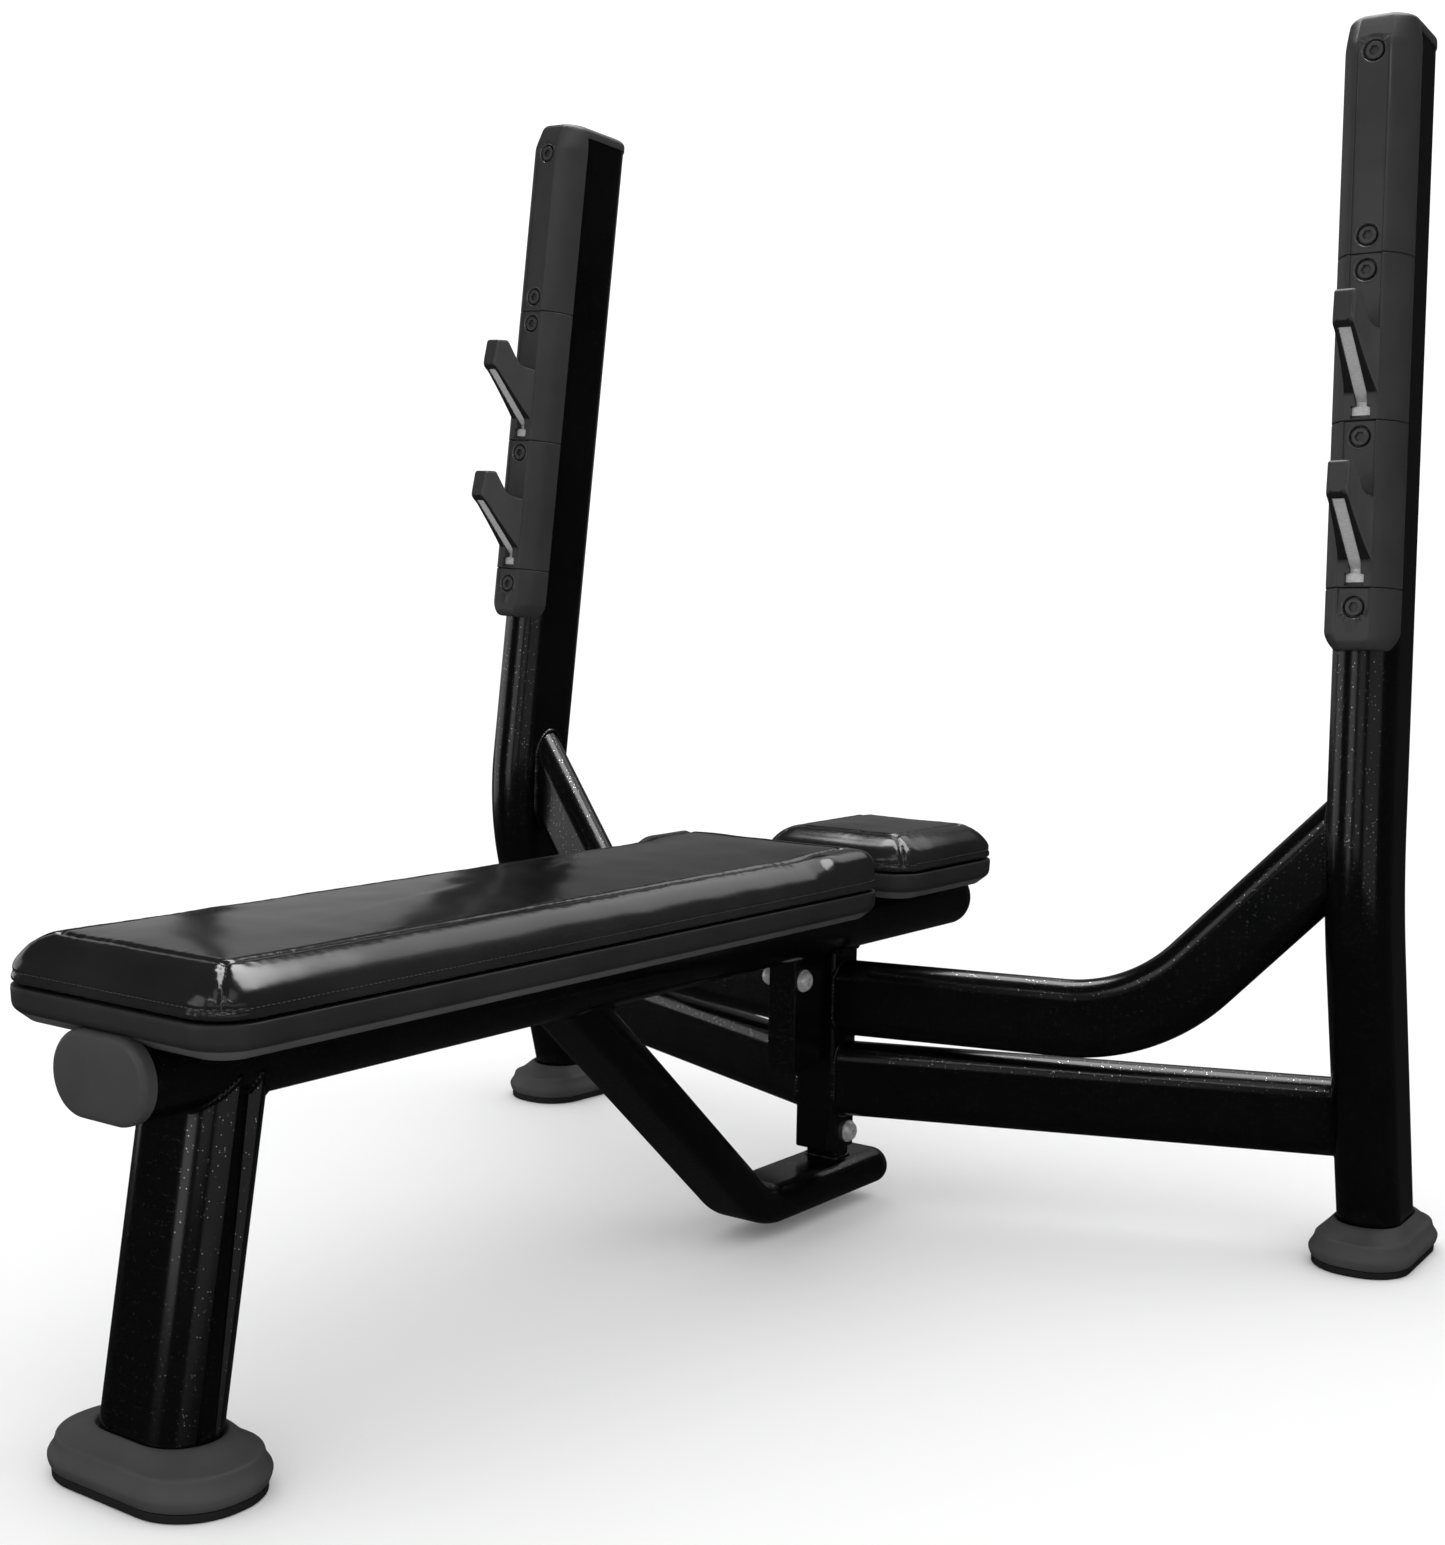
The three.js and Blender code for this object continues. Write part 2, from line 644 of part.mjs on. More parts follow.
// A socket-head screw along Y, head towards the lifter.
function coverScrew() {
  const { head, headHeight, shank, pocketFloor, end } = SCREW;
  const seat = -pocketFloor + GAP;
  const body = revolve(
    [
      [0, -end], [shank, -end], [shank, seat], [head, seat], [head, seat + headHeight - 1],
      [head - 1, seat + headHeight], [0, seat + headHeight],
    ],
    HOLE_SIDES,
  );
  const socket = new THREE.CylinderGeometry(SCREW.socket, SCREW.socket, 7, HEX_SIDES);
  return cut(body, socket.translate(0, seat + headHeight, 0)).rotateX(Math.PI);
}

// ---------------------------------------------------------------- arms
// An arm stands in a vertical plane through the column and is cut to fit the column and its post.
function arm(side, angle, runs, radius, postEnvelope) {
  const along = V(side * Math.cos(angle), Math.sin(angle), 0);
  const across = V(-Math.sin(angle), side * Math.cos(angle), 0);
  const corners = runs.map(([run, z]) => V(0, ARM.rootY, z).addScaledVector(along, run));
  const whole = tube(ARM.thick, ARM.tall, corners, radius, across);
  return largestBody(cut(whole, columnSolid(GAP, 0, COLUMN.top), postEnvelope));
}

// ---------------------------------------------------------------- both sides of the rack
const armStart = 13;
const armEnd = 600;
const upperArmTop = UPPER_ARM.z + (armEnd - UPPER_ARM.bendAt) * Math.tan(UPPER_ARM.rise);
const lowerArmRuns = [[armStart, LOWER_ARM.z], [armEnd, LOWER_ARM.z]];
const upperArmRuns = [
  [armStart, UPPER_ARM.z], [UPPER_ARM.bendAt, UPPER_ARM.z], [armEnd, upperArmTop],
];

for (const side of [1, -1]) {
  const hand = side > 0 ? "right" : "left";
  const frame = postFrame(side);
  const sideways = V(1, 0, 0).transformDirection(frame.matrixWorld);
  const corners = postCorners(side, frame);
  const envelope = bar(POST.width, POST.depth, corners, POST.bendRadius, GAP, 0, sideways);
  const holes = Object.values(SCREW_HEIGHT).map((height) => screwHole(height, frame));
  const post = tube(POST.width, POST.depth, corners, POST.bendRadius, sideways);
  add("upright_" + hand, cut(post, belowFloorLine, ...holes), BLACK_PAINT);

  const boot = [side * POST_BOOT.x, POST_BOOT.y, side * TOE_IN];
  add("boot_" + hand, bootShell(POST_BOOT, ...boot, envelope), GREY_RUBBER);
  add("base_pad_" + hand, basePad(POST_BOOT, ...boot), BLACK_RUBBER);

  add("lower_arm_" + hand, arm(side, LOWER_ARM.angle, lowerArmRuns, 0, envelope), BLACK_PAINT);
  const upper = arm(side, UPPER_ARM.angle, upperArmRuns, UPPER_ARM.bendRadius, envelope);
  add("upper_arm_" + hand, upper, BLACK_PAINT);

  bench.add(frame);
  add("top_cover_" + hand, topCover(), GREY_COVER, frame);
  add("bottom_cover_" + hand, bottomCover(), GREY_COVER, frame);
  for (const level of ["upper", "lower"]) {
    const bottom = SEAM.lowerHook + (level === "upper" ? SEAM.hookLength : 0);
    const cover = hookCover(bottom, SCREW_HEIGHT[level + "Hook"]);
    add(`${level}_hook_cover_${hand}`, cover, GREY_COVER, frame);
    add(`${level}_hook_plate_${hand}`, hookPlate(), STRIP_STEEL, frame).position.z = bottom;
  }
  Object.values(SCREW_HEIGHT).forEach((height, i) => {
    add(`cover_screw_${hand}_${i + 1}`, coverScrew(), BLACK_STEEL, frame).position.z = height;
  });
}

// ---------------------------------------------------------------- pads
function padRing(pad, inset, z) {
  const corner = Math.max(40 - inset, 12);
  return {
    points: roundedBox(2 * (pad.half - inset), pad.rear - pad.front - 2 * inset, corner),
    y: (pad.front + pad.rear) / 2,
    z,
  };
}

function cushion(pad) {
  const drop = (depth) => pad.top - depth;
  return loft([
    padRing(pad, 2, PAD_SHELL_Z.top + GAP),
    padRing(pad, 0, pad.seam - 4),
    padRing(pad, 0, pad.seam + 3),
    padRing(pad, 5, drop(22)),
    padRing(pad, 14, drop(11)),
    padRing(pad, 26, drop(3)),
    padRing(pad, 45, drop(0)),
  ]);
}

// The moulded shell under a cushion saddles the beam.
function padShell(pad, holes) {
  const shell = loft([
    padRing(pad, 16, PAD_SHELL_Z.bottom),
    padRing(pad, 5, PAD_SHELL_Z.bottom + 10),
    padRing(pad, 3, PAD_SHELL_Z.top),
  ]);
  return cut(shell, beamBar(GAP + CAP_PROUD), ...holes);
}

// A hexagon-head bolt that comes up through the beam into a pad's shell.
function padBolt() {
  const headTop = BEAM.z - BEAM.height / 2 - GAP;
  const { head, headHeight, shank, top } = PAD_BOLT;
  const hexagon = new THREE.CylinderGeometry(head, head, headHeight, HEX_SIDES).rotateX(Math.PI / 2);
  const length = top - headTop + 1; // the shank starts inside the head
  const stem = new THREE.CylinderGeometry(shank, shank, length, HOLE_SIDES).rotateX(Math.PI / 2);
  return join(
    hexagon.translate(0, 0, headTop - headHeight / 2),
    stem.translate(0, 0, top - length / 2),
  );
}

for (const [name, pad] of Object.entries({ back: BACK_PAD, head: HEAD_PAD })) {
  add(name + "_pad", cushion(pad), VINYL);
  add(name + "_pad_shell", padShell(pad, boltHoles), PAD_SHELL);
  padBoltYs[name].forEach((y, i) => {
    add(`${name}_pad_bolt_${i + 1}`, padBolt(), ZINC).position.y = y;
  });
}

// ---------------------------------------------------------------- origin under the middle
const extent = new THREE.Box3().setFromObject(bench, true);
bench.position.y = -(extent.min.y + extent.max.y) / 2;

export default bench;
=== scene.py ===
"""Olympic bench press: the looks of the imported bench, in metres, in the bench's own frame."""

import json
from math import atan, cos, dist, hypot, pi, radians, sin, sqrt, tan
from types import SimpleNamespace as Sizes

import bmesh
import bpy
import numpy as np
from mathutils import Matrix, Vector, noise
from mathutils.bvhtree import BVHTree
from mathutils.kdtree import KDTree


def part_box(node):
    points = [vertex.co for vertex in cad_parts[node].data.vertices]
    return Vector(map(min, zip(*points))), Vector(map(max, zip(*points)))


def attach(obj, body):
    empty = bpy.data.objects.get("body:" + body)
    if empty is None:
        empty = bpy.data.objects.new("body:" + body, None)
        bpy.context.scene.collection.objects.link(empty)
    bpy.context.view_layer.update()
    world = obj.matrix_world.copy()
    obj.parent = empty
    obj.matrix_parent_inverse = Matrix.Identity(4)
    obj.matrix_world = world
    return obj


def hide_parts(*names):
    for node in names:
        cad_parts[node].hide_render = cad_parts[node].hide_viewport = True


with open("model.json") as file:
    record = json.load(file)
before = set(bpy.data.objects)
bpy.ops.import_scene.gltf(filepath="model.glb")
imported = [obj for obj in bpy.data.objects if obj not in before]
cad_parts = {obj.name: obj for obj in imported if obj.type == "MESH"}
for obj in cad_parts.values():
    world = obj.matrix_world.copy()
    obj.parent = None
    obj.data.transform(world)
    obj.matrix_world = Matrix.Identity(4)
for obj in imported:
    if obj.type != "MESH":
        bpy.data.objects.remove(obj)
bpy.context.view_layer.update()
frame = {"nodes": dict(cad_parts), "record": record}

# ---- sizes shared with the solids
# Y values count from the front of the posts at their kink; SHIFT moves them into the bench's frame.
BEAM_FRONT, BEAM_REAR = -1.076, 0.149
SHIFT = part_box("seat_beam")[0].y - BEAM_FRONT
BEAM = Sizes(width=0.11, height=0.068, z=0.336)
LEG = Sizes(width=0.112, depth=0.07, foot_y=-1.037, slope=0.165, top=0.316)
BOOT_BASE = 0.008
FRONT_BOOT = Sizes(width=0.2, depth=0.122, corner=0.058, y=-1.032)
POST_BOOT = Sizes(width=0.11, depth=0.188, corner=0.05, x=0.567, y=0.153)
POST = Sizes(spacing=0.575, width=0.068, depth=0.11, kink_z=0.401, top=0.892, bend=0.38)
LEAN_BACK, LEAN_IN, TOE_IN = (radians(a) for a in (4.75, 2.0, 3.0))
LOWER_SLOPE = 0.275
ARM = Sizes(thick=0.042, tall=0.086, root_y=-0.08)
LOWER_ARM = Sizes(angle=radians(21.3), z=0.152)
UPPER_ARM = Sizes(angle=radians(14.5), z=0.246, bend_at=0.363, rise=radians(46.5), bend=0.2)
BRACE = Sizes(width=0.086, height=0.042, z=0.036, slope=radians(41.5), bend_y=-0.231, rear=-0.008,
              bend=0.075)
COLUMN = Sizes(size=0.05, corner=0.006, front=-0.097, bottom=0.07, top=0.3017)
COVER = Sizes(half=0.038, front=-0.019, rear=0.018, shoulder_x=0.037, shoulder_y=-0.006, step=0.0015)
SEAM_BOTTOM, SEAM_HOOK, HOOK_LENGTH = 0.259, 0.321, 0.167
SEAM_TOP = SEAM_HOOK + 2 * HOOK_LENGTH
BACK_PAD = Sizes(half=0.137, front=-1.087, rear=-0.166, roll=0.12)
HEAD_PAD = Sizes(half=0.104, front=-0.078, rear=0.143, roll=0.0)


def mm(*rows):
    """Rows of lengths in millimetres, as metres."""
    return [tuple(value / 1000 for value in row) for row in rows]


def at(x, y, z):
    """A point given with y counted from the posts."""
    return Vector((x, y + SHIFT, z))


# ---- materials
def new_material(name):
    """A node material and its Principled shader."""
    material = bpy.data.materials.new(name)
    material.use_nodes = True
    return material, material.node_tree.nodes["Principled BSDF"]


def node(material, kind, **settings):
    """A new node; each of its inputs takes a value or the socket that feeds it."""
    made = material.node_tree.nodes.new(kind)
    for key, value in settings.items():
        if isinstance(value, bpy.types.NodeSocket):
            link(material, value, made.inputs[key])
        elif key in made.inputs:
            made.inputs[key].default_value = value
        else:
            setattr(made, key, value)
    return made


def link(material, source, target):
    material.node_tree.links.new(source, target)


def object_noise(material, scale, detail=4.0, stretch=(1, 1, 1)):
    """A noise texture in the object's own coordinates, in cycles per metre."""
    place = node(material, "ShaderNodeTexCoord").outputs["Object"]
    scaled = node(material, "ShaderNodeMapping", Vector=place, Scale=stretch).outputs["Vector"]
    return node(material, "ShaderNodeTexNoise", Vector=scaled, Scale=scale, Detail=detail,
                Roughness=0.55).outputs["Fac"]


def cells(material, **settings):
    """A Voronoi texture in the object's own coordinates."""
    place = node(material, "ShaderNodeTexCoord").outputs["Object"]
    return node(material, "ShaderNodeTexVoronoi", Vector=place, **settings).outputs


def ramp(material, source, *stops):
    """A colour ramp of (position, grey or colour) stops."""
    made = node(material, "ShaderNodeValToRGB", Fac=source)
    elements = made.color_ramp.elements
    while len(elements) < len(stops):
        elements.new(0.5)
    for element, (position, value) in zip(elements, stops):
        element.position = position
        element.color = (value, value, value, 1) if np.isscalar(value) else (*value, 1)
    return made.outputs["Color"]


def span(material, source, low, high):
    """Maps 0..1 to low..high."""
    limits = {"To Min": low, "To Max": high}
    return node(material, "ShaderNodeMapRange", Value=source, **limits).outputs["Result"]


def gloss(shader, specular, coat=0.0, coat_roughness=0.03):
    shader.inputs["Specular IOR Level"].default_value = specular
    shader.inputs["Coat Weight"].default_value = coat
    shader.inputs["Coat Roughness"].default_value = coat_roughness


def bump(material, shader, height, distance, strength=1.0, under=None):
    made = node(material, "ShaderNodeBump", Height=height, Strength=strength, Distance=distance)
    if under is not None:
        link(material, under, made.inputs["Normal"])
    link(material, made.outputs["Normal"], shader.inputs["Normal"])
    return made.outputs["Normal"]


def powder_coat():
    """Gloss black with orange peel and a fine metallic sparkle."""
    material, shader = new_material("powder_coat")
    flakes = cells(material, Scale=560.0)
    pick = ramp(material, flakes["Color"], (0.0, 0.0), (0.76, 0.0), (0.82, 1.0))
    near = ramp(material, flakes["Distance"], (0.0, 1.0), (0.2, 1.0), (0.32, 0.0))
    both = node(material, "ShaderNodeMath", operation="MULTIPLY")
    link(material, pick, both.inputs[0])
    link(material, near, both.inputs[1])
    base = ramp(material, object_noise(material, 9.0), (0.3, 0.0008), (0.7, 0.0018))
    mix = node(material, "ShaderNodeMix", data_type="RGBA")
    link(material, both.outputs[0], mix.inputs["Factor"])
    link(material, base, mix.inputs["A"])
    mix.inputs["B"].default_value = (0.75, 0.75, 0.76, 1)
    link(material, mix.outputs["Result"], shader.inputs["Base Color"])
    link(material, ramp(material, both.outputs[0], (0.0, 0.0), (0.08, 1.0)), shader.inputs["Metallic"])
    link(material, span(material, object_noise(material, 30.0), 0.16, 0.27), shader.inputs["Roughness"])
    bump(material, shader, object_noise(material, 700.0, detail=1.0), 0.00012, 0.35)
    gloss(shader, 0.42, 0.25, 0.12)
    return material


def moulded_plastic(name, grey, roughness, grain=900.0, coat=0.0):
    """Textured moulded plastic or rubber."""
    material, shader = new_material(name)
    shade = ramp(material, object_noise(material, 14.0), (0.3, grey * 0.86), (0.7, grey * 1.14))
    link(material, shade, shader.inputs["Base Color"])
    worn = span(material, object_noise(material, 60.0, detail=6.0), roughness - 0.07, roughness + 0.07)
    link(material, worn, shader.inputs["Roughness"])
    bump(material, shader, object_noise(material, grain, detail=2.0), 0.0002, 0.35)
    gloss(shader, 0.45, coat)
    return material


def metal(name, grey, roughness, stretch, metallic=1.0):
    """Worked or plated steel with a directional grain."""
    material, shader = new_material(name)
    lines = object_noise(material, 220.0, detail=5.0, stretch=stretch)
    shade = ramp(material, lines, (0.25, grey * 0.75), (0.75, min(1.0, grey * 1.15)))
    link(material, shade, shader.inputs["Base Color"])
    link(material, span(material, lines, roughness - 0.08, roughness + 0.1), shader.inputs["Roughness"])
    bump(material, shader, lines, 0.0001, 0.3)
    shader.inputs["Metallic"].default_value = metallic
    return material


def vinyl():
    """Gloss black upholstery vinyl: a fine leather grain over slow unevenness."""
    material, shader = new_material("vinyl")
    shade = ramp(material, object_noise(material, 6.0), (0.3, 0.009), (0.7, 0.016))
    link(material, shade, shader.inputs["Base Color"])
    leather = cells(material, Scale=620.0, feature="DISTANCE_TO_EDGE")
    grain = ramp(material, leather["Distance"], (0.0, 0.0), (0.16, 1.0))
    under = bump(material, shader, object_noise(material, 26.0, detail=3.0), 0.0004, 0.15)
    bump(material, shader, grain, 0.00008, 0.12, under)
    patches = span(material, object_noise(material, 11.0, detail=5.0), 0.13, 0.21)
    link(material, patches, shader.inputs["Roughness"])
    gloss(shader, 0.5, 0.2, 0.12)
    return material


MATERIALS = {
    "frame_paint": powder_coat(),
    "covers": moulded_plastic("cover_plastic", 0.027, 0.42, coat=0.1),
    "hook_plates": metal("strip_steel", 0.6, 0.38, (1, 8, 1), 0.45),
    "screws": metal("black_steel", 0.05, 0.36, (1, 1, 1), 0.3),
    "beam_cap": moulded_plastic("cap_plastic", 0.04, 0.48),
    "tube_plugs": moulded_plastic("plug_plastic", 0.006, 0.3),
    "boots": moulded_plastic("boot_rubber", 0.046, 0.6, grain=600.0),
    "base_pads": moulded_plastic("base_rubber", 0.008, 0.7, grain=500.0),
    "vinyl": vinyl(),
    "pad_shells": moulded_plastic("shell_plastic", 0.016, 0.5),
    "bolts": metal("zinc", 0.62, 0.3, (1, 1, 1), 0.6),
}


THREAD = moulded_plastic("thread", 0.05, 0.55, grain=2500.0)
# Painted light: the pad bases' lower chamfer is drawn in a lighter grey, standing in for the light the floor
# throws up onto it.
SHELL_CHAMFER_PAINTED_LIGHT = moulded_plastic("shell_chamfer_painted_light", 0.065, 0.5)
# The pocket rims are glossier plastic. Their lighter grey is a painted highlight for the bright crescents on
# them.
POCKET_RIM_GLOSS_PAINTED_HIGHLIGHT = moulded_plastic("pocket_rim_gloss_painted_highlight", 0.05, 0.24, coat=0.5)
# Painted light: the prong's flanks are drawn lighter than the cover plastic, as if lit.
PRONG_FLANK_PAINTED_LIGHT = moulded_plastic("prong_flank_painted_light", 0.048, 0.42, coat=0.1)
# Painted shade: the prong's downward faces are drawn near black for the shade under the prong.
PRONG_UNDERSIDE_PAINTED_SHADE = moulded_plastic("prong_underside_painted_shade", 0.008, 0.55)


# ---- mesh tools
def new_object(name, data):
    obj = bpy.data.objects.new(name, data)
    bpy.context.scene.collection.objects.link(obj)
    return obj


def piece(name, slot, vertices, faces, replaces=None, sharp=35.0, weighted=True):
    """A shown piece of the bench that rides on the frame."""
    mesh = bpy.data.meshes.new(name)
    mesh.from_pydata([tuple(v) for v in vertices], [], [tuple(f) for f in faces])
    return adopt(name, slot, mesh, replaces, sharp, weighted)


def adopt(name, slot, mesh, replaces=None, sharp=35.0, weighted=True):
    """Turns a mesh into a piece that replaces the named solid, or the one called as the piece is."""
    work = bmesh.new()
    work.from_mesh(mesh)
    bmesh.ops.remove_doubles(work, verts=work.verts, dist=1e-6)
    bmesh.ops.recalc_face_normals(work, faces=work.faces)
    work.to_mesh(mesh)
    work.free()
    mesh.shade_smooth()
    mesh.set_sharp_from_angle(angle=radians(sharp))
    mesh.materials.append(MATERIALS[slot])
    obj = new_object(name, mesh)
    if weighted:
        obj.modifiers.new("normals", "WEIGHTED_NORMAL").keep_sharp = True
    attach(obj, "root")
    solid = replaces or name.lower()
    if solid in frame["nodes"]:
        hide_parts(solid)
    return obj


def grid_faces(rows, columns):
    """Quads between successive rings of the same number of points."""
    faces = []
    for start in range(0, (rows - 1) * columns, columns):
        for j in range(columns):
            a, b = start + j, start + (j + 1) % columns
            faces.append((a, b, b + columns, a + columns))
    return faces


def loft(rings):
    """Vertices and faces of a closed loft through rings of points."""
    count, last = len(rings[0]), (len(rings) - 1) * len(rings[0])
    caps = [tuple(range(count))[::-1], tuple(range(last, last + count))]
    return [p for ring in rings for p in ring], grid_faces(len(rings), count) + caps


def circle(steps):
    """Angles round a whole turn, without its end."""
    return np.linspace(0, 2 * pi, steps + 1)[:-1]


def resampled(loop, marks, lengths):
    """Points at the given marks along a line whose points are at the given lengths."""
    table = np.array([tuple(p) for p in loop])
    return [Vector(p) for p in np.stack([np.interp(marks, lengths, table[:, k]) for k in range(3)], 1)]


def obround(width, height):
    """An obround outline centred on the origin."""
    radius, steps = min(width, height) / 2, 28
    reach_x, reach_y = width / 2 - radius, height / 2 - radius
    first = -pi / 2 if reach_x > 0 else 0.0
    points = []
    for end in (0, 1):
        sign = -1 if end else 1
        for i in range(steps + 1):
            angle = first + pi * (end + i / steps)
            points.append((sign * reach_x + radius * cos(angle), sign * reach_y + radius * sin(angle)))
    return points


def rounded_box(width, height, radius, steps=10):
    points = []
    for corner in range(4):
        sign_x, sign_y = (1, -1, -1, 1)[corner], (1, 1, -1, -1)[corner]
        for i in range(steps + 1):
            angle = pi / 2 * (corner + i / steps)
            points.append((sign_x * (width / 2 - radius) + radius * cos(angle),
                           sign_y * (height / 2 - radius) + radius * sin(angle)))
    return points


def bent_path(corners, radius, steps=20):
    """Stations (point, tangent) along straight runs joined by round bends."""
    corners = [Vector(c) for c in corners]
    along = [(b - a).normalized() for a, b in zip(corners, corners[1:])]
    stations = [(corners[0], along[0])]
    for corner, before, after in zip(corners[1:], along, along[1:]):
        turn = before.angle(after)
        axis = before.cross(after).normalized()
        start = corner - before * radius * tan(turn / 2)
        centre = start + axis.cross(before) * radius
        for k in range(steps + 1):
            spin = Matrix.Rotation(turn * k / steps, 3, axis)
            stations.append((centre + spin @ (start - centre), spin @ before))
    stations.append((corners[-1], along[-1]))
    return stations


def section_ring(section, point, tangent, across):
    """The section's points in space; across is the way its own x axis points."""
    u = (across - tangent * across.dot(tangent)).normalized()
    v = tangent.cross(u)
    return [point + u * x + v * y for x, y in section]


def sweep(section, stations, across):
    return [section_ring(section, point, tangent, across) for point, tangent in stations]


def tree_of(obj):
    """A search tree over a piece's own mesh."""
    mesh = obj.data
    return BVHTree.FromPolygons([v.co.copy() for v in mesh.vertices], [p.vertices[:] for p in mesh.polygons])


def coped(ring, direction, tree, back=0.12):
    """Moves a ring's points along direction until they meet a surface."""
    moved = []
    for p in ring:
        hit = tree.ray_cast(p - direction * back, direction, back + 0.2)[0]
        if hit is None:
            hit = tree.find_nearest(p)[0]
        moved.append(hit + direction * 0.0004)
    return moved


def bead(name, loop, radius=0.0034):
    """A rippled weld bead along a closed loop."""
    loop = [Vector(p) for p in loop]
    lengths = [0.0]
    for a, b in zip(loop, loop[1:] + loop[:1]):
        lengths.append(lengths[-1] + (b - a).length)
    count = max(24, int(lengths[-1] / 0.0014))
    marks = np.linspace(0, lengths[-1], count, endpoint=False)
    points = resampled(loop + loop[:1], marks, lengths)
    centre = sum(points, Vector()) / count
    rings = []
    for i, p in enumerate(points):
        tangent = (points[(i + 1) % count] - points[i - 1]).normalized()
        outward = p - centre
        outward = (outward - tangent * outward.dot(tangent)).normalized()
        side = tangent.cross(outward)
        wobble = 0.25 * noise.noise(p * 90.0)
        size = radius * (0.82 + 0.24 * abs(sin(pi * marks[i] / 0.0042)) + wobble)
        rings.append([p + (outward * cos(a) + side * sin(a)) * size
                      for a in circle(8)])
    vertices = [p for ring in rings + rings[:1] for p in ring]
    return piece(name, "frame_paint", vertices, grid_faces(count + 1, 8), sharp=80.0, weighted=False)


def turned(name, slot, profile, place):
    """A turned piece from (radius, height) points along the local z axis of place."""
    rings = [[place @ Vector((r * cos(a), r * sin(a), h))
              for a in circle(48)] for r, h in profile]
    return piece(name, slot, *loft(rings), sharp=32.0)


def rounded_prism(name, low, high, radius, chamfer=0.0008):
    """An upright painted block with rounded long edges, and a small chamfer at its ends."""
    middle, size = (low + high) / 2, high - low
    rings = []
    for level, inset in ((low.z, chamfer), (low.z + chamfer, 0), (high.z - chamfer, 0), (high.z, chamfer)):
        outline = rounded_box(size.x - 2 * inset, size.y - 2 * inset, max(radius - inset, 0.0003), 6)
        rings.append([Vector((middle.x + a, middle.y + b, level)) for a, b in outline])
    return piece(name, "frame_paint", *loft(rings))


# ---- main beam and its end caps
X_AXIS, Y_AXIS, Z_AXIS = Vector((1, 0, 0)), Vector((0, 1, 0)), Vector((0, 0, 1))


def plug(name, slot, tube, y, facing, profile):
    """A tube plug on the beam's or brace's axis; profile is (extra size, distance out) points."""
    rings = []
    for extra, out in profile:
        ring = obround(tube.width + 2 * extra, tube.height + 2 * extra)
        rings.append([at(a, y + facing * out, tube.z + b) for a, b in ring])
    piece(name, slot, *loft(rings), sharp=28.0)


beam_stations = [(at(0, BEAM_FRONT, BEAM.z), Y_AXIS), (at(0, BEAM_REAR, BEAM.z), Y_AXIS)]
beam_rings = sweep(obround(BEAM.width, BEAM.height), beam_stations, X_AXIS)
beam = piece("Main_beam", "frame_paint", *loft(beam_rings), replaces="seat_beam")
beam_tree = tree_of(beam)

quarter = [(1 - cos(a), sin(a)) for a in np.linspace(0, pi / 2, 7)]
front_cap = [(-0.004, -0.001), (-0.0005, 0.0), (0.001, 0.0012), (0.001, 0.0085)]
front_cap += [(0.001 - 0.006 * a, 0.0085 + 0.0055 * b) for a, b in quarter[1:]]
front_cap += [(-0.012, 0.0146), (-0.022, 0.015), (-0.0325, 0.015)]
plug("Beam_front_cap", "beam_cap", BEAM, BEAM_FRONT, -1, front_cap)


def round_plug_profile(thickness, radius, half_height):
    profile = [(-0.003, -0.001), (-0.0006, 0.0004), (0.0, 0.0012), (0.0, thickness - radius)]
    profile += [(-radius * a, thickness - radius + radius * b) for a, b in quarter[1:]]
    profile.append((-half_height + 0.0005, thickness))
    return profile


plug("Beam_rear_cap", "tube_plugs", BEAM, BEAM_REAR, 1, round_plug_profile(0.014, 0.01, BEAM.height / 2))
plug("Brace_end_cap", "tube_plugs", BRACE, BRACE.rear, 1,
     round_plug_profile(0.015, 0.013, BRACE.height / 2))

# ---- leg, brace and column


def leg_point(z):
    return at(0, LEG.foot_y + LEG.slope * z, z)


leg_way = (leg_point(1.0) - leg_point(0.0)).normalized()
leg_section = obround(LEG.width, LEG.depth)
leg_top = coped(section_ring(leg_section, leg_point(LEG.top - 0.01), leg_way, X_AXIS), leg_way, beam_tree)
leg_foot = [p - leg_way * ((p.z - BOOT_BASE - 0.001) / leg_way.z)
            for p in section_ring(leg_section, leg_point(0.03), leg_way, X_AXIS)]
piece("Front_leg", "frame_paint", *loft([leg_foot, leg_top]))
bead("Weld_leg", leg_top, 0.0036)

brace_start = at(0, BRACE.bend_y - (BEAM.z - BRACE.z) / tan(BRACE.slope), BEAM.z)
brace_corners = [brace_start, at(0, BRACE.bend_y, BRACE.z), at(0, BRACE.rear, BRACE.z)]
brace_path = bent_path(brace_corners, BRACE.bend, 28)
brace_rings = sweep(obround(BRACE.width, BRACE.height), brace_path, X_AXIS)
brace_top = coped(brace_rings[0], -brace_path[0][1], beam_tree, back=0.25)
piece("Brace_tube", "frame_paint", *loft([brace_top] + brace_rings[1:]))
bead("Weld_brace", brace_top)

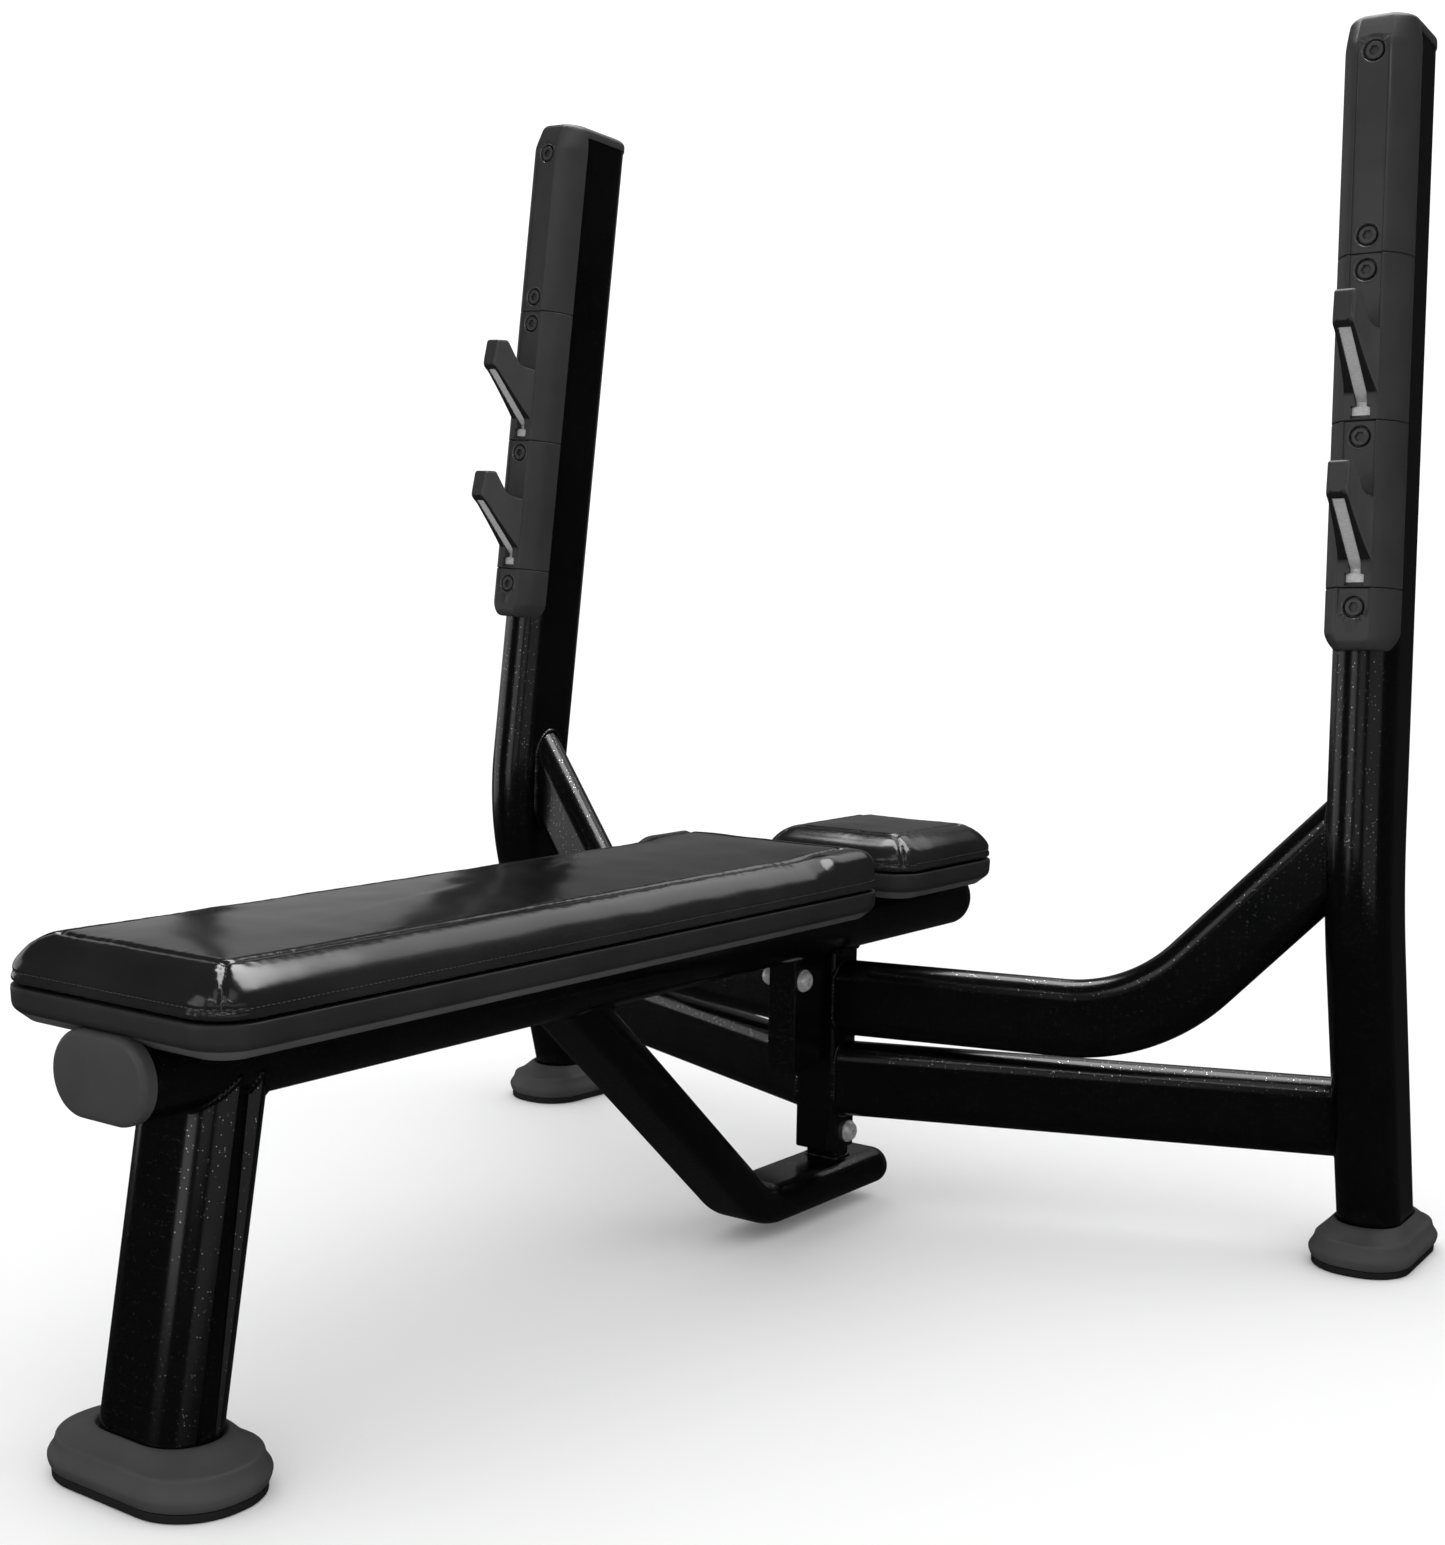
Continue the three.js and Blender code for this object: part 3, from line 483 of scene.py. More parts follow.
column_y = COLUMN.front + COLUMN.size / 2
column = rounded_prism("Centre_post", at(-COLUMN.size / 2, COLUMN.front, COLUMN.bottom),
                       at(COLUMN.size / 2, COLUMN.front + COLUMN.size, COLUMN.top), COLUMN.corner)
column_tree = tree_of(column)
column_top = [at(a, column_y + b, COLUMN.top) for a, b in rounded_box(0.05, 0.05, 0.006, 6)]
bead("Weld_column", column_top)
BRACKET_HALF, BRACKET_FRONT, BRACKET_BOTTOM = 0.018, -0.166, 0.172
BRACKET_REAR = COLUMN.front - 0.014
rounded_prism("Beam_bracket", at(-BRACKET_HALF, BRACKET_FRONT, BRACKET_BOTTOM),
              at(BRACKET_HALF, BRACKET_REAR, COLUMN.top), 0.0025, 0.001)
bracket_top = [at(a, (BRACKET_FRONT + BRACKET_REAR) / 2 + b, COLUMN.top)
               for a, b in rounded_box(0.036, 0.055, 0.0025, 6)]
bead("Weld_bracket", bracket_top, 0.0028)
rounded_prism("Post_lug", at(-0.0127, -0.159, 0.182), at(0.0127, COLUMN.front - 0.0003, 0.293), 0.001)
rounded_prism("Brace_tongue", at(-0.0207, -0.078, BRACE.z + 0.0206), at(0.0207, -0.052, 0.112), 0.003)
tongue_foot = [at(a, -0.065 + b, BRACE.z + 0.0212) for a, b in rounded_box(0.0414, 0.026, 0.003, 6)]
bead("Weld_tongue", tongue_foot, 0.003)


# ---- cross bolts
def outward(profile, start):
    return [(radius, start + out) for radius, out in profile]


def cross_bolt(name, y, z, grip):
    """A domed bolt head at +X with a shallow hexagon socket, and a domed nut at -X."""
    bolt_place = Matrix.Translation(at(0, y, z)) @ Matrix.Rotation(pi / 2, 4, "Y")
    head = mm((12.5, 0), (12.5, 1.6), (12.2, 2.2), (11.5, 2.5), (11.2, 2.8), (10.8, 4.2), (9.8, 6), (8, 7.5),
              (5.8, 8.3), (4.4, 8.5), (4.1, 8.2), (4, 4.8), (0.4, 4.6))
    shank = [(0.006, -grip), (0.006, grip - 0.0005)]
    turned(name + "_bolt", "bolts", shank + outward(head, grip), bolt_place)
    nut_place = Matrix.Translation(at(0, y, z)) @ Matrix.Rotation(-pi / 2, 4, "Y")
    dome = mm((6.3, 0), (11.8, 0), (12, 0.4), (12, 1.6), (10.5, 2), (10.2, 2.6), (10, 8.2), (9.2, 11.2),
              (7.4, 13.8), (4.8, 15.4), (2, 16.1), (0.3, 16.2))
    turned(name + "_nut", "bolts", outward(dome, grip), nut_place)


cross_bolt("Upper_column", -0.1505, 0.275, 0.0183)
cross_bolt("Lower_column", -0.062, 0.088, 0.0253)


# ---- posts and arms
def post_place(side):
    """The post's own frame: z up its upper part, y rearward, the kink's front at the origin."""
    turn = (Matrix.Rotation(side * TOE_IN, 4, "Z") @ Matrix.Rotation(-side * LEAN_IN, 4, "Y")
            @ Matrix.Rotation(-LEAN_BACK, 4, "X"))
    return Matrix.Translation(at(side * POST.spacing, 0, POST.kink_z)) @ turn


def post_line(side):
    """The post's own frame, the middle of its kink and the way down from there."""
    place = post_place(side)
    half_bend = (LEAN_BACK + atan(LOWER_SLOPE)) / 2
    middle = POST.depth / 2
    kink = place @ Vector((0, middle, middle * tan(half_bend)))
    return place, kink, Vector((-side * sin(TOE_IN) * LOWER_SLOPE, cos(TOE_IN) * LOWER_SLOPE, -1))


def upright(side, hand):
    place, kink, down = post_line(side)
    top = place @ Vector((0, POST.depth / 2, POST.top - 0.004))
    foot = kink + down * (kink.z - BOOT_BASE - 0.001)
    stations = bent_path([top, kink, foot], POST.bend, 24)
    sideways = (place.to_3x3() @ X_AXIS).normalized()
    rings = sweep(obround(POST.width, POST.depth), stations, sideways)
    way = stations[-1][1]
    rings[-1] = [p - way * ((p.z - BOOT_BASE - 0.001) / way.z) for p in rings[-1]]
    return piece("Upright_" + hand, "frame_paint", *loft(rings))


def arm(name, side, angle, runs, radius, post_tree):
    """A tube from the column to a post, coped and welded at both ends."""
    along = Vector((side * cos(angle), sin(angle), 0))
    across = Vector((-sin(angle), side * cos(angle), 0))
    corners = [at(0, ARM.root_y, z) + along * run for run, z in runs]
    stations = bent_path(corners, radius, 36)
    rings = sweep(obround(ARM.thick, ARM.tall), stations, across)
    rings[0] = coped(rings[0], -stations[0][1], column_tree, back=0.1)
    rings[-1] = coped(rings[-1], stations[-1][1], post_tree, back=0.2)
    piece(name, "frame_paint", *loft(rings))
    bead("Weld_inner_" + name, rings[0])
    bead("Weld_outer_" + name, rings[-1], 0.0036)


upper_end = 0.6
upper_top = UPPER_ARM.z + (upper_end - UPPER_ARM.bend_at) * tan(UPPER_ARM.rise)
for side, hand in ((1, "Right"), (-1, "Left")):
    post_tree = tree_of(upright(side, hand))
    lower_runs = [(0.03, LOWER_ARM.z), (0.58, LOWER_ARM.z)]
    arm("Lower_arm_" + hand, side, LOWER_ARM.angle, lower_runs, 0, post_tree)
    upper_runs = [(0.03, UPPER_ARM.z), (UPPER_ARM.bend_at, UPPER_ARM.z), (upper_end, upper_top)]
    arm("Upper_arm_" + hand, side, UPPER_ARM.angle, upper_runs, UPPER_ARM.bend, post_tree)


# ---- boots and base pads
def radial(outline, angles):
    """Where rays from the middle of a convex outline leave it."""
    loop = np.array(outline)
    points = []
    for angle in angles:
        way = np.array([cos(angle), sin(angle)])
        best = 0.0
        for a, b in zip(loop, np.roll(loop, -1, axis=0)):
            edge = b - a
            cross = way[0] * edge[1] - way[1] * edge[0]
            if abs(cross) < 1e-12:
                continue
            t = (a[0] * edge[1] - a[1] * edge[0]) / cross
            s = (a[0] * way[1] - a[1] * way[0]) / cross
            if t > 0 and -1e-9 <= s <= 1 + 1e-9:
                best = max(best, t)
        points.append(way * best)
    return points


def grown(size, extra):
    return rounded_box(size.width + 2 * extra, size.depth + 2 * extra, size.corner + extra, 12)


def boot(name, size, x, turn, tube_size, tube_centre):
    """A moulded boot: a drafted skirt, a rounded shoulder and a slope that meets the tube."""
    angles = circle(128)
    spin = Matrix.Rotation(turn, 3, "Z")
    skirt = mm((-3.6, 0.3), (-2.6, 0.8), (-1.2, 3.2), (-0.2, 6), (0.4, 8.6), (0.4, 10.4), (-0.6, 12.8),
               (-2.6, 15.6), (-4.4, 18.8), (-5.5, 22.2), (-6, 24.4), (-7, 25.7), (-9, 26.6))
    rings = []
    for extra, z in skirt:
        rings.append(([Vector((a, b, 0)) for a, b in radial(grown(size, extra), angles)], z))
    shoulder = rings[-1][0]
    collar = [Vector((a, b, 0)) for a, b in radial(obround(*tube_size), angles)]
    rise = [(0.22, 0.0285), (0.45, 0.0325), (0.66, 0.0362), (0.8, 0.038), (0.88, 0.0378), (0.93, 0.0366)]
    for blend, z in rise:
        rings.append(([p.lerp(q + tube_centre(z), blend) for p, q in zip(shoulder, collar)], z))
    for extra, z in ((0.0014, 0.0352), (0.0006, 0.034), (-0.004, 0.033)):
        rings.append(([q * (1 + extra / q.length) + tube_centre(z) for q in collar], z))
    centre = at(x, size.y, BOOT_BASE)
    placed = [[centre + spin @ p + Z_AXIS * z for p in ring] for ring, z in rings]
    piece(name, "boots", *loft(placed))
    edge = mm((-6, 0), (-4, 0.6), (-3.1, 1.6), (-3, 6.6), (-3.4, 7.6), (-6, 8))
    pad_rings = []
    for extra, z in edge:
        pad_rings.append([at(x, size.y, z) + spin @ Vector((a, b, 0)) for a, b in grown(size, extra)])
    piece(name.replace("Boot", "Base_pad"), "base_pads", *loft(pad_rings))


def leg_centre(z):
    return Vector((0, LEG.foot_y + LEG.slope * (z + BOOT_BASE) - FRONT_BOOT.y, 0))


boot("Front_Boot", FRONT_BOOT, 0, 0, (LEG.width, LEG.depth * 1.013), leg_centre)
for side, hand in ((1, "Right"), (-1, "Left")):
    _, kink, down = post_line(side)
    x = side * POST_BOOT.x

    def post_centre(z):
        foot = kink + down * (kink.z - z - BOOT_BASE) - at(x, POST_BOOT.y, 0)
        return Matrix.Rotation(-side * TOE_IN, 3, "Z") @ Vector((foot.x, foot.y, 0))

    boot("Boot_" + hand, POST_BOOT, x, side * TOE_IN, (POST.width, POST.depth * 1.037), post_centre)


# ---- wear covers, hooks and screws
# Local to a post: x across, y rearward from the post's front, z up from the kink.
PANEL = [0, 0.0022, 0.0043, 0.0063, 0.0065, 0.0082, 0.0097, 0.0099, 0.0104, 0.0108, 0.0114, 0.012, 0.0126,
         0.0142, 0.0152]
CHANNEL = Sizes(half=0.0162, depth=0.0016, soft=0.0012)
POCKET = Sizes(rim=0.0126, lip=0.0114, wall=0.0108, floor=0.0104, depth=0.0063)
FRONT_PLANE = COVER.front - COVER.step
EDGE_ROUND = 0.0013
BORE = Sizes(radius=0.0343, y=0.034)
SCREWS = {"bottom": SEAM_HOOK - 0.0195, "lower_hook": SEAM_HOOK + HOOK_LENGTH - 0.016,
          "upper_hook": SEAM_TOP - 0.016, "top_lower": SEAM_TOP + 0.0185, "top_upper": POST.top - 0.034}


def bezier(a, b, c, steps):
    """Points of a quadratic curve, without its last one."""
    a, b, c = (np.array(p) for p in (a, b, c))
    marks = np.linspace(0, 1, steps + 1)[:-1]
    return [tuple(a * (1 - t) ** 2 + 2 * b * t * (1 - t) + c * t * t) for t in marks]


def cover_outline():
    """The outer section from the right rear edge round the front, and its inward normals."""
    flank = bezier((COVER.half, COVER.rear), (COVER.shoulder_x, COVER.shoulder_y - 0.0012),
                   (0.0178, FRONT_PLANE), 16)
    right = flank + [(x, FRONT_PLANE) for x in (0.0176, 0.0166, 0.0162, 0.0158)]
    right += [(x, FRONT_PLANE) for x in PANEL[:0:-1]]
    points = right + [(0.0, FRONT_PLANE)] + [(-x, y) for x, y in right[::-1]]
    loop = np.array(points)
    tangent = np.gradient(loop, axis=0)
    normal = np.stack([tangent[:, 1], -tangent[:, 0]], 1)
    normal /= np.linalg.norm(normal, axis=1)[:, None]
    return loop, normal * np.sign(-(normal * (loop - (0, 0.02))).sum(1))[:, None]


OUTLINE, INWARD = cover_outline()


def bore_y(x):
    return BORE.y - sqrt(max(0.0, BORE.radius ** 2 - x * x))


def smooth(t):
    t = min(1.0, max(0.0, t))
    return t * t * (3 - 2 * t)


def cover_rows(low, high, pockets, extra):
    """Row heights: rounded edges, the pockets' own rows and any more that the features need."""
    rows = [low + d for d in (0, 0.0002, 0.0005, 0.0009, EDGE_ROUND)]
    rows += [high - d for d in (0, 0.0002, 0.0005, 0.0009, EDGE_ROUND)]
    zone = PANEL[-1] + 0.0001
    for height in pockets:
        rows += [height + s * x for x in PANEL for s in (-1, 1) if low <= height + s * x <= high]
    for z in list(extra) + list(np.linspace(low, high, max(3, int((high - low) / 0.012)))):
        if all(abs(z - height) > zone for height in pockets) and min(abs(z - r) for r in rows) > 0.00015:
            rows.append(z)
    return sorted(set(round(r, 7) for r in rows))


def cover_body(place, low, high, pockets, channel, cuts=(), shape=None, extra=(), open_top=False):
    """A cover's shell; channel(x, z) is the distance inside the shallow channel, cuts are deeper recesses."""
    rings = []
    for z in cover_rows(low, high, pockets, extra):
        edge = min(z - low, 1.0 if open_top else high - z)
        inset = EDGE_ROUND - sqrt(EDGE_ROUND ** 2 - max(0.0, EDGE_ROUND - edge) ** 2)
        outer, inner = [], []
        for (x, y), normal in zip(OUTLINE, INWARD):
            up = z
            sunk = CHANNEL.depth * smooth(channel(x, z) / CHANNEL.soft)
            for height in pockets:
                reach = max(abs(x), abs(z - height))
                if reach <= POCKET.rim + 1e-6:
                    scale = reach / max(1e-9, hypot(x, z - height))
                    x, up = x * scale, height + (z - height) * scale
                    if reach <= POCKET.wall + 1e-6:
                        sunk = CHANNEL.depth + POCKET.depth - (0.0005 if reach > POCKET.floor + 1e-6 else 0)
                    else:
                        sunk += 0.001 * max(0.0, POCKET.rim - reach) / (POCKET.rim - POCKET.lip)
                    break
            for half, bottom, top, depth in cuts:
                if abs(x) < half and bottom < z < top:
                    sunk = max(sunk, depth)
            x, y = x + normal[0] * inset, y + normal[1] * inset + sunk
            if shape:
                x, y = shape(x, y, z)
            outer.append((x, y, up))
            reach_x = x * 0.0302 / COVER.half
            inner.append((reach_x, bore_y(reach_x), z))
        rings.append([place @ Vector(p) for p in outer + inner[::-1]])
    count, half = len(rings[0]), len(OUTLINE)
    faces = grid_faces(len(rings), count)
    for row in (0, len(rings) - 1):
        for j in range(half - 1):
            a = row * count + j
            b = row * count + count - 1 - j
            faces.append((a, a + 1, b - 1, b))
    return [p for ring in rings for p in ring], faces


def merged(*parts):
    """Several (vertices, faces) pairs as one."""
    vertices, faces = [], []
    for more, quads in parts:
        faces += [tuple(i + len(vertices) for i in f) for f in quads]
        vertices += more
    return vertices, faces


PRONG_TOP = mm((-86, 117.8), (-83.5, 118.8), (-80, 119.2), (-69.5, 120.5), (-68.2, 120.4), (-66.9, 119.8),
               (-65.8, 118.8), (-50, 100), (-47, 97), (-44, 95), (-40, 93.4), (-35, 92.4), (-24, 91.4),
               (-18, 90.8))
PRONG_LOW = mm((-89, 88.2), (-22.5, 27.4), (-21.2, 24), (-20.5, 14.5), (-18, 13.5))
PRONG_HALF = mm((-89, 10.8), (-76, 11), (-64, 11.8), (-50, 13), (-38, 14.5), (-30, 15.6), (-24, 16.8),
                (-21.2, 17.6), (-18, 18.2))
PRONG_LEAN = 0.003


def prong(place, bottom):
    """The moulded prong, its edges rounded and a groove along its slanted lower face."""
    rings = []
    slope = (PRONG_LOW[1][1] - PRONG_LOW[0][1]) / (PRONG_LOW[1][0] - PRONG_LOW[0][0])
    stations = mm((-86, 3.2), (-85.8, 2.2), (-85.3, 1.3), (-84.5, 0.6), (-83.5, 0.2), (-82.5, 0), (-81.5, 0),
                  (-81.3, 0))
    stations += [(y / 1000, 0) for y in (
        -79, -76, -72, -69.5, -68.2, -66.9, -65.8, -62, -56, -50, -48.5, -47, -45.5, -44, -42, -40, -37.5,
        -35, -33, -30, -27.5, -25.5, -24, -23.2, -22.5, -21.9, -21.2, -20.8, -20.5, -18)]
    radius = 0.003
    for y, inset in stations:
        top, low, half = (np.interp(y, *zip(*table)) for table in (PRONG_TOP, PRONG_LOW, PRONG_HALF))
        top, low, half = top - inset, low + inset, half - inset
        groove = PRONG_LOW[0][1] + slope * (y - PRONG_LOW[0][0]) + 0.0022 if y > -0.0814 else low
        arc = [(radius * (1 - cos(a)), radius * (1 - sin(a))) for a in np.linspace(0, pi / 2, 6)]
        right = [(0, groove), (0.0063, groove), (0.0065, low), (half - radius - 0.001, low)]
        right += [(half - a, low + b) for a, b in arc[::-1]]
        right += [(half, low + (top - low) * f) for f in (0.25, 0.5, 0.75)]
        right += [(half - a, top - b) for a, b in arc]
        right.append((half * 0.4, top + 0.0001))
        ring = right + [(0, top + 0.0001)] + [(-x, z) for x, z in right[:0:-1]]
        tip = min(1.0, max(0.0, (-0.078 - y) / 0.008))
        rings.append([place @ Vector((x, y - PRONG_LEAN * tip * smooth((0.118 - z) / 0.03), bottom + z))
                      for x, z in ring])
    return loft(rings)


def within(half, low, high=9.0, corner=0.004):
    """How far a point of the front lies inside an upright slot with rounded corners."""
    def inside(x, z):
        rise = min(z - low, high - z)
        if rise < corner and abs(x) > half - corner:
            return corner - hypot(abs(x) - half + corner, corner - rise)
        return min(half - abs(x), rise)
    return inside


def bottom_shape(x, y, z):
    """The lowest cover's lower corners and chin."""
    rise = z - SEAM_BOTTOM
    limit = COVER.half - 0.011 * (max(0.0, 0.019 - rise) / 0.019) ** 1.6
    tuck = max(0.0, 0.011 - rise) / 0.011
    y += 0.0095 * (1 - sqrt(1 - min(1.0, tuck) ** 2)) * (COVER.rear - y) / (COVER.rear - FRONT_PLANE)
    x *= 1 - (1 - limit / COVER.half) * smooth((abs(x) - 0.012) / 0.008)
    return x, min(y, max(bore_y(x) - 0.0001, y - 0.008))


TOP_PROFILE = mm((-28, 0, 0), (-24, 0.7, 0.2), (-19, 2.4, 0.6), (-8, 6.6, 1.8), (0, 9.8, 3), (2.5, 11.2, 4),
                 (4.5, 13.2, 6), (6, 16.6, 9.2), (7, 21, 13.5), (7.6, 29, 21))
BAND_LOW = -0.008


def top_shape(x, y, z):
    """The top cover's front leans back and narrows towards the dome."""
    heights, back, narrow = zip(*TOP_PROFILE)
    height = z - POST.top
    back, narrow = np.interp(height, heights, back), np.interp(height, heights, narrow)
    y += back * (COVER.rear - y) / (COVER.rear - FRONT_PLANE)
    return x * (1 - narrow / COVER.half), y


def lid(place):
    """The dome over the post's end: the cover's own flanks in front, a low band round the rear."""
    rings = []
    levels = [(BAND_LOW, 0.0006), (BAND_LOW + 0.0004, 0.0001), (BAND_LOW + 0.001, 0)]
    levels += mm((-4, 0), (0, 0.2), (2, 1), (3.5, 2.2), (4.5, 3.5), (5.5, 5.8), (6.4, 9.2), (7.1, 14),
                 (7.6, 21))
    for height, inset in levels:
        front = [top_shape(x, y, POST.top + height) for x, y in OUTLINE]
        radius = 0.0352 - inset
        rear = [(radius * cos(a), 0.076 + radius * sin(a)) for a in np.linspace(pi, 0, 25)]
        rear = [(-radius, 0.0215), (-radius, 0.045)] + rear + [(radius, 0.045), (radius, 0.0215)]
        rings.append([place @ Vector((x, y, POST.top + height)) for x, y in front + rear])
    return loft(rings)


def cover_screw(name, place, height):
    """A socket-head screw, its hexagon recess open to the front."""
    angles = circle(48)
    hexagon = [(0.0052 * cos(a), 0.0052 * sin(a)) for a in circle(6)]
    seat, face = -COVER.front - 0.0057, -COVER.front - 0.0007
    rings = []
    for radius, out in ((0.004, -0.007), (0.004, seat), (0.0086, seat), (0.009, seat + 0.0004),
                        (0.009, face - 0.001), (0.0088, face - 0.0005), (0.0083, face - 0.0001),
                        (0.0078, face), (0.006, face)):
        rings.append([(radius * cos(a), out, radius * sin(a)) for a in angles])
    for scale, out in ((1.06, face), (1.0, face - 0.0003), (0.98, face - 0.0034)):
        rings.append([(p[0] * scale, out, p[1] * scale) for p in radial(hexagon, angles)])
    placed = [[place @ Vector((x, -out, height + z)) for x, out, z in ring] for ring in rings]
    piece(name, "screws", *loft(placed), replaces="cover_" + name.lower())


def cover_finish_and_painted_light(obj, place, pockets, bottom=None):
    """Gives the pockets' rims their glossier finish with a painted highlight, the prong's flanks a lighter
    grey as painted light, and its underside a near-black painted shade.
    """
    local = place.inverted()
    for material in (POCKET_RIM_GLOSS_PAINTED_HIGHLIGHT, PRONG_FLANK_PAINTED_LIGHT, PRONG_UNDERSIDE_PAINTED_SHADE):
        obj.data.materials.append(material)
    for face in obj.data.polygons:
        spot, way = local @ face.center, local.to_3x3() @ face.normal
        # Rim faces: glossier, and lighter grey as a painted highlight.
        if any(POCKET.wall < hypot(spot.x, spot.z - h) < POCKET.rim for h in pockets) and way.y > -0.97:
            face.material_index = 1
        elif bottom is not None and spot.y < -0.0212 and spot.z < bottom + 0.12:
            # Downward faces under the prong: painted shade.
            if way.z < -0.45 and way.y < 0:
                face.material_index = 3
            # Sideways faces of the prong: painted light.
            elif abs(way.x) > 0.6:
                face.material_index = 2


def cover(name, place, low, high, pockets, channel, *moulded_on, bottom=None, **features):
    """A wear cover in one with what is moulded on it."""
    body = cover_body(place, low, high, pockets, channel, **features)
    made = piece(name, "covers", *merged(body, *moulded_on), sharp=40.0)
    cover_finish_and_painted_light(made, place, pockets, bottom)


for side, hand in ((1, "right"), (-1, "left")):
    place = post_place(side)
    centre, half = SCREWS["bottom"], CHANNEL.half
    rows = [SEAM_BOTTOM + d for d in (0.002, 0.003, 0.0045, 0.006, 0.008, 0.01, 0.013, 0.016, 0.019)]
    cover("Bottom_cover_" + hand, place, SEAM_BOTTOM, SEAM_HOOK - 0.0002, [centre],
          within(half, centre - half, corner=half - 0.0001), shape=bottom_shape, extra=rows)
    for level, bottom in (("lower", SEAM_HOOK), ("upper", SEAM_HOOK + HOOK_LENGTH)):
        rows = [bottom + d / 1000 for d in (1.5, 1.6, 7, 14.9, 15.1, 27, 27.2, 88, 89.2, 90, 90.8, 91.8, 92.8,
                                            93.8, 95, 97)]
        cuts = ((0.0098, bottom + 0.00155, bottom + 0.015, 0.0068),
                (0.0064, bottom + 0.0145, bottom + 0.0271, 0.0095))
        cover(level.capitalize() + "_hook_cover_" + hand, place, bottom + 0.0002,
              bottom + HOOK_LENGTH - 0.0002, [SCREWS[level + "_hook"]], within(half, bottom + 0.0895),
              prong(place, bottom), bottom=bottom, cuts=cuts, extra=rows)
    end = SCREWS["top_upper"] + half
    rows = [POST.top + h for h, _, _ in TOP_PROFILE if h < BAND_LOW - 0.001]
    rows += [POST.top - 0.0135, end - 0.0004, end + 0.0002, end + 0.0008]
    cover("Top_cover_" + hand, place, SEAM_TOP + 0.0002, POST.top + BAND_LOW,
          [SCREWS["top_lower"], SCREWS["top_upper"]], within(half, 0.0, end, corner=half - 0.0001),
          lid(place), shape=top_shape, extra=rows, open_top=True)
    for index, height in enumerate(SCREWS.values(), 1):
        cover_screw("Screw_%s_%d" % (hand, index), place, height)
    for level in ("lower", "upper"):
        plate = frame["nodes"]["%s_hook_plate_%s" % (level, hand)]
        bevel = plate.modifiers.new("edges", "BEVEL")
        bevel.width = 0.0005
        bevel.segments = 2

# ---- pads
CREASE, WELT = mm((37, 432.8), (1.2, 403))
ROLL_TOP = 0.4362
CUSHION = mm((30, 393.5), (3, 393.5), (0.8, 394.6), (0.4, 397.5)) + [WELT]
CUSHION += mm((2.2, 408.5), (6.2, 415), (12, 421.2), (19.6, 426.6), (28.5, 430.9), (33.5, 432.4)) + [CREASE]
CUSHION += mm((50, 433))
BASE = mm((30, 392.3), (3, 392.3), (1.4, 391.9), (0.6, 391), (0.4, 388), (1, 378), (1.8, 375.2), (3.2, 373),
          (5.2, 371.2), (15, 363.4), (16.2, 362.7), (18, 362.4), (35, 362.4))


def pad_ring(pad, inset, z):
    """The pad's outline, drawn in by inset, with y counted from the posts."""
    corner = max(0.04 - inset, 0.009)
    middle = (pad.rear + pad.front) / 2
    outline = rounded_box(2 * (pad.half - inset), pad.rear - pad.front - 2 * inset, corner, 12)
    points = []
    for start, end in zip(outline, outline[1:] + outline[:1]):
        parts = 48 if dist(start, end) > 0.04 else 1
        points += [Vector((start[0] + (end[0] - start[0]) * k / parts,
                           middle + start[1] + (end[1] - start[1]) * k / parts, z)) for k in range(parts)]
    return points


def lifted(pad, p):
    """The back pad ends in a roll that keeps its full height out to the pad's sides."""
    along = smooth((p.y - pad.rear + pad.roll) / 0.026) if pad.roll else 0.0
    inward = min(1.0, max(0.0, (pad.half - abs(p.x)) / 0.022))
    full = WELT[1] + (ROLL_TOP - WELT[1]) * sqrt(1 - (1 - inward) ** 2)
    crown = smooth((pad.rear - p.y) / 0.03)
    return Vector((p.x, p.y, p.z + along * crown * max(0.0, full - p.z) * smooth((p.z - 0.4025) / 0.003)))


def dense(points, pitch, closed):
    """Points every pitch along a line."""
    loop = list(points) + ([points[0]] if closed else [])
    marks = np.concatenate([[0], np.cumsum([(b - a).length for a, b in zip(loop, loop[1:])])])
    count = max(2, int(marks[-1] / pitch))
    return resampled(loop, np.linspace(0, marks[-1], count, endpoint=not closed), marks)


def seam_lines(pad):
    """The crease round the top panel, the welt's stitch line and the four mitre seams."""
    crease = dense(pad_ring(pad, *CREASE), 0.001, True)
    welt = dense(pad_ring(pad, *WELT), 0.001, True)
    mitres = []
    for sx in (-1, 1):
        for end in (pad.front, pad.rear):
            sy = 1 if end == pad.front else -1
            line = []
            for inset, z in CUSHION[4:12]:
                corner = max(0.04 - inset, 0.009)
                cut = inset + corner * (1 - sqrt(0.5))
                line.append(Vector((sx * (pad.half - cut), end + sy * cut, z)))
            mitres.append(dense(line, 0.001, False))
    return [[lifted(pad, p) for p in line] for line in (crease, welt, *mitres)]


def evaluated(obj):
    """The object's mesh with its modifiers applied; the object itself is removed."""
    graph = bpy.context.evaluated_depsgraph_get()
    mesh = bpy.data.meshes.new_from_object(obj.evaluated_get(graph), depsgraph=graph)
    bpy.data.objects.remove(obj)
    return mesh


def coordinates(mesh):
    flat = np.empty(3 * len(mesh.vertices))
    mesh.vertices.foreach_get("co", flat)
    return flat.reshape(-1, 3)


def seam_distance(points, lines):
    """For each point, how far it is from each group of seam lines."""
    columns = []
    for line in lines:
        tree = KDTree(len(line))
        for i, p in enumerate(line):
            tree.insert(p, i)
        tree.balance()
        columns.append([tree.find(p)[2] for p in points])
    return np.array(columns).T


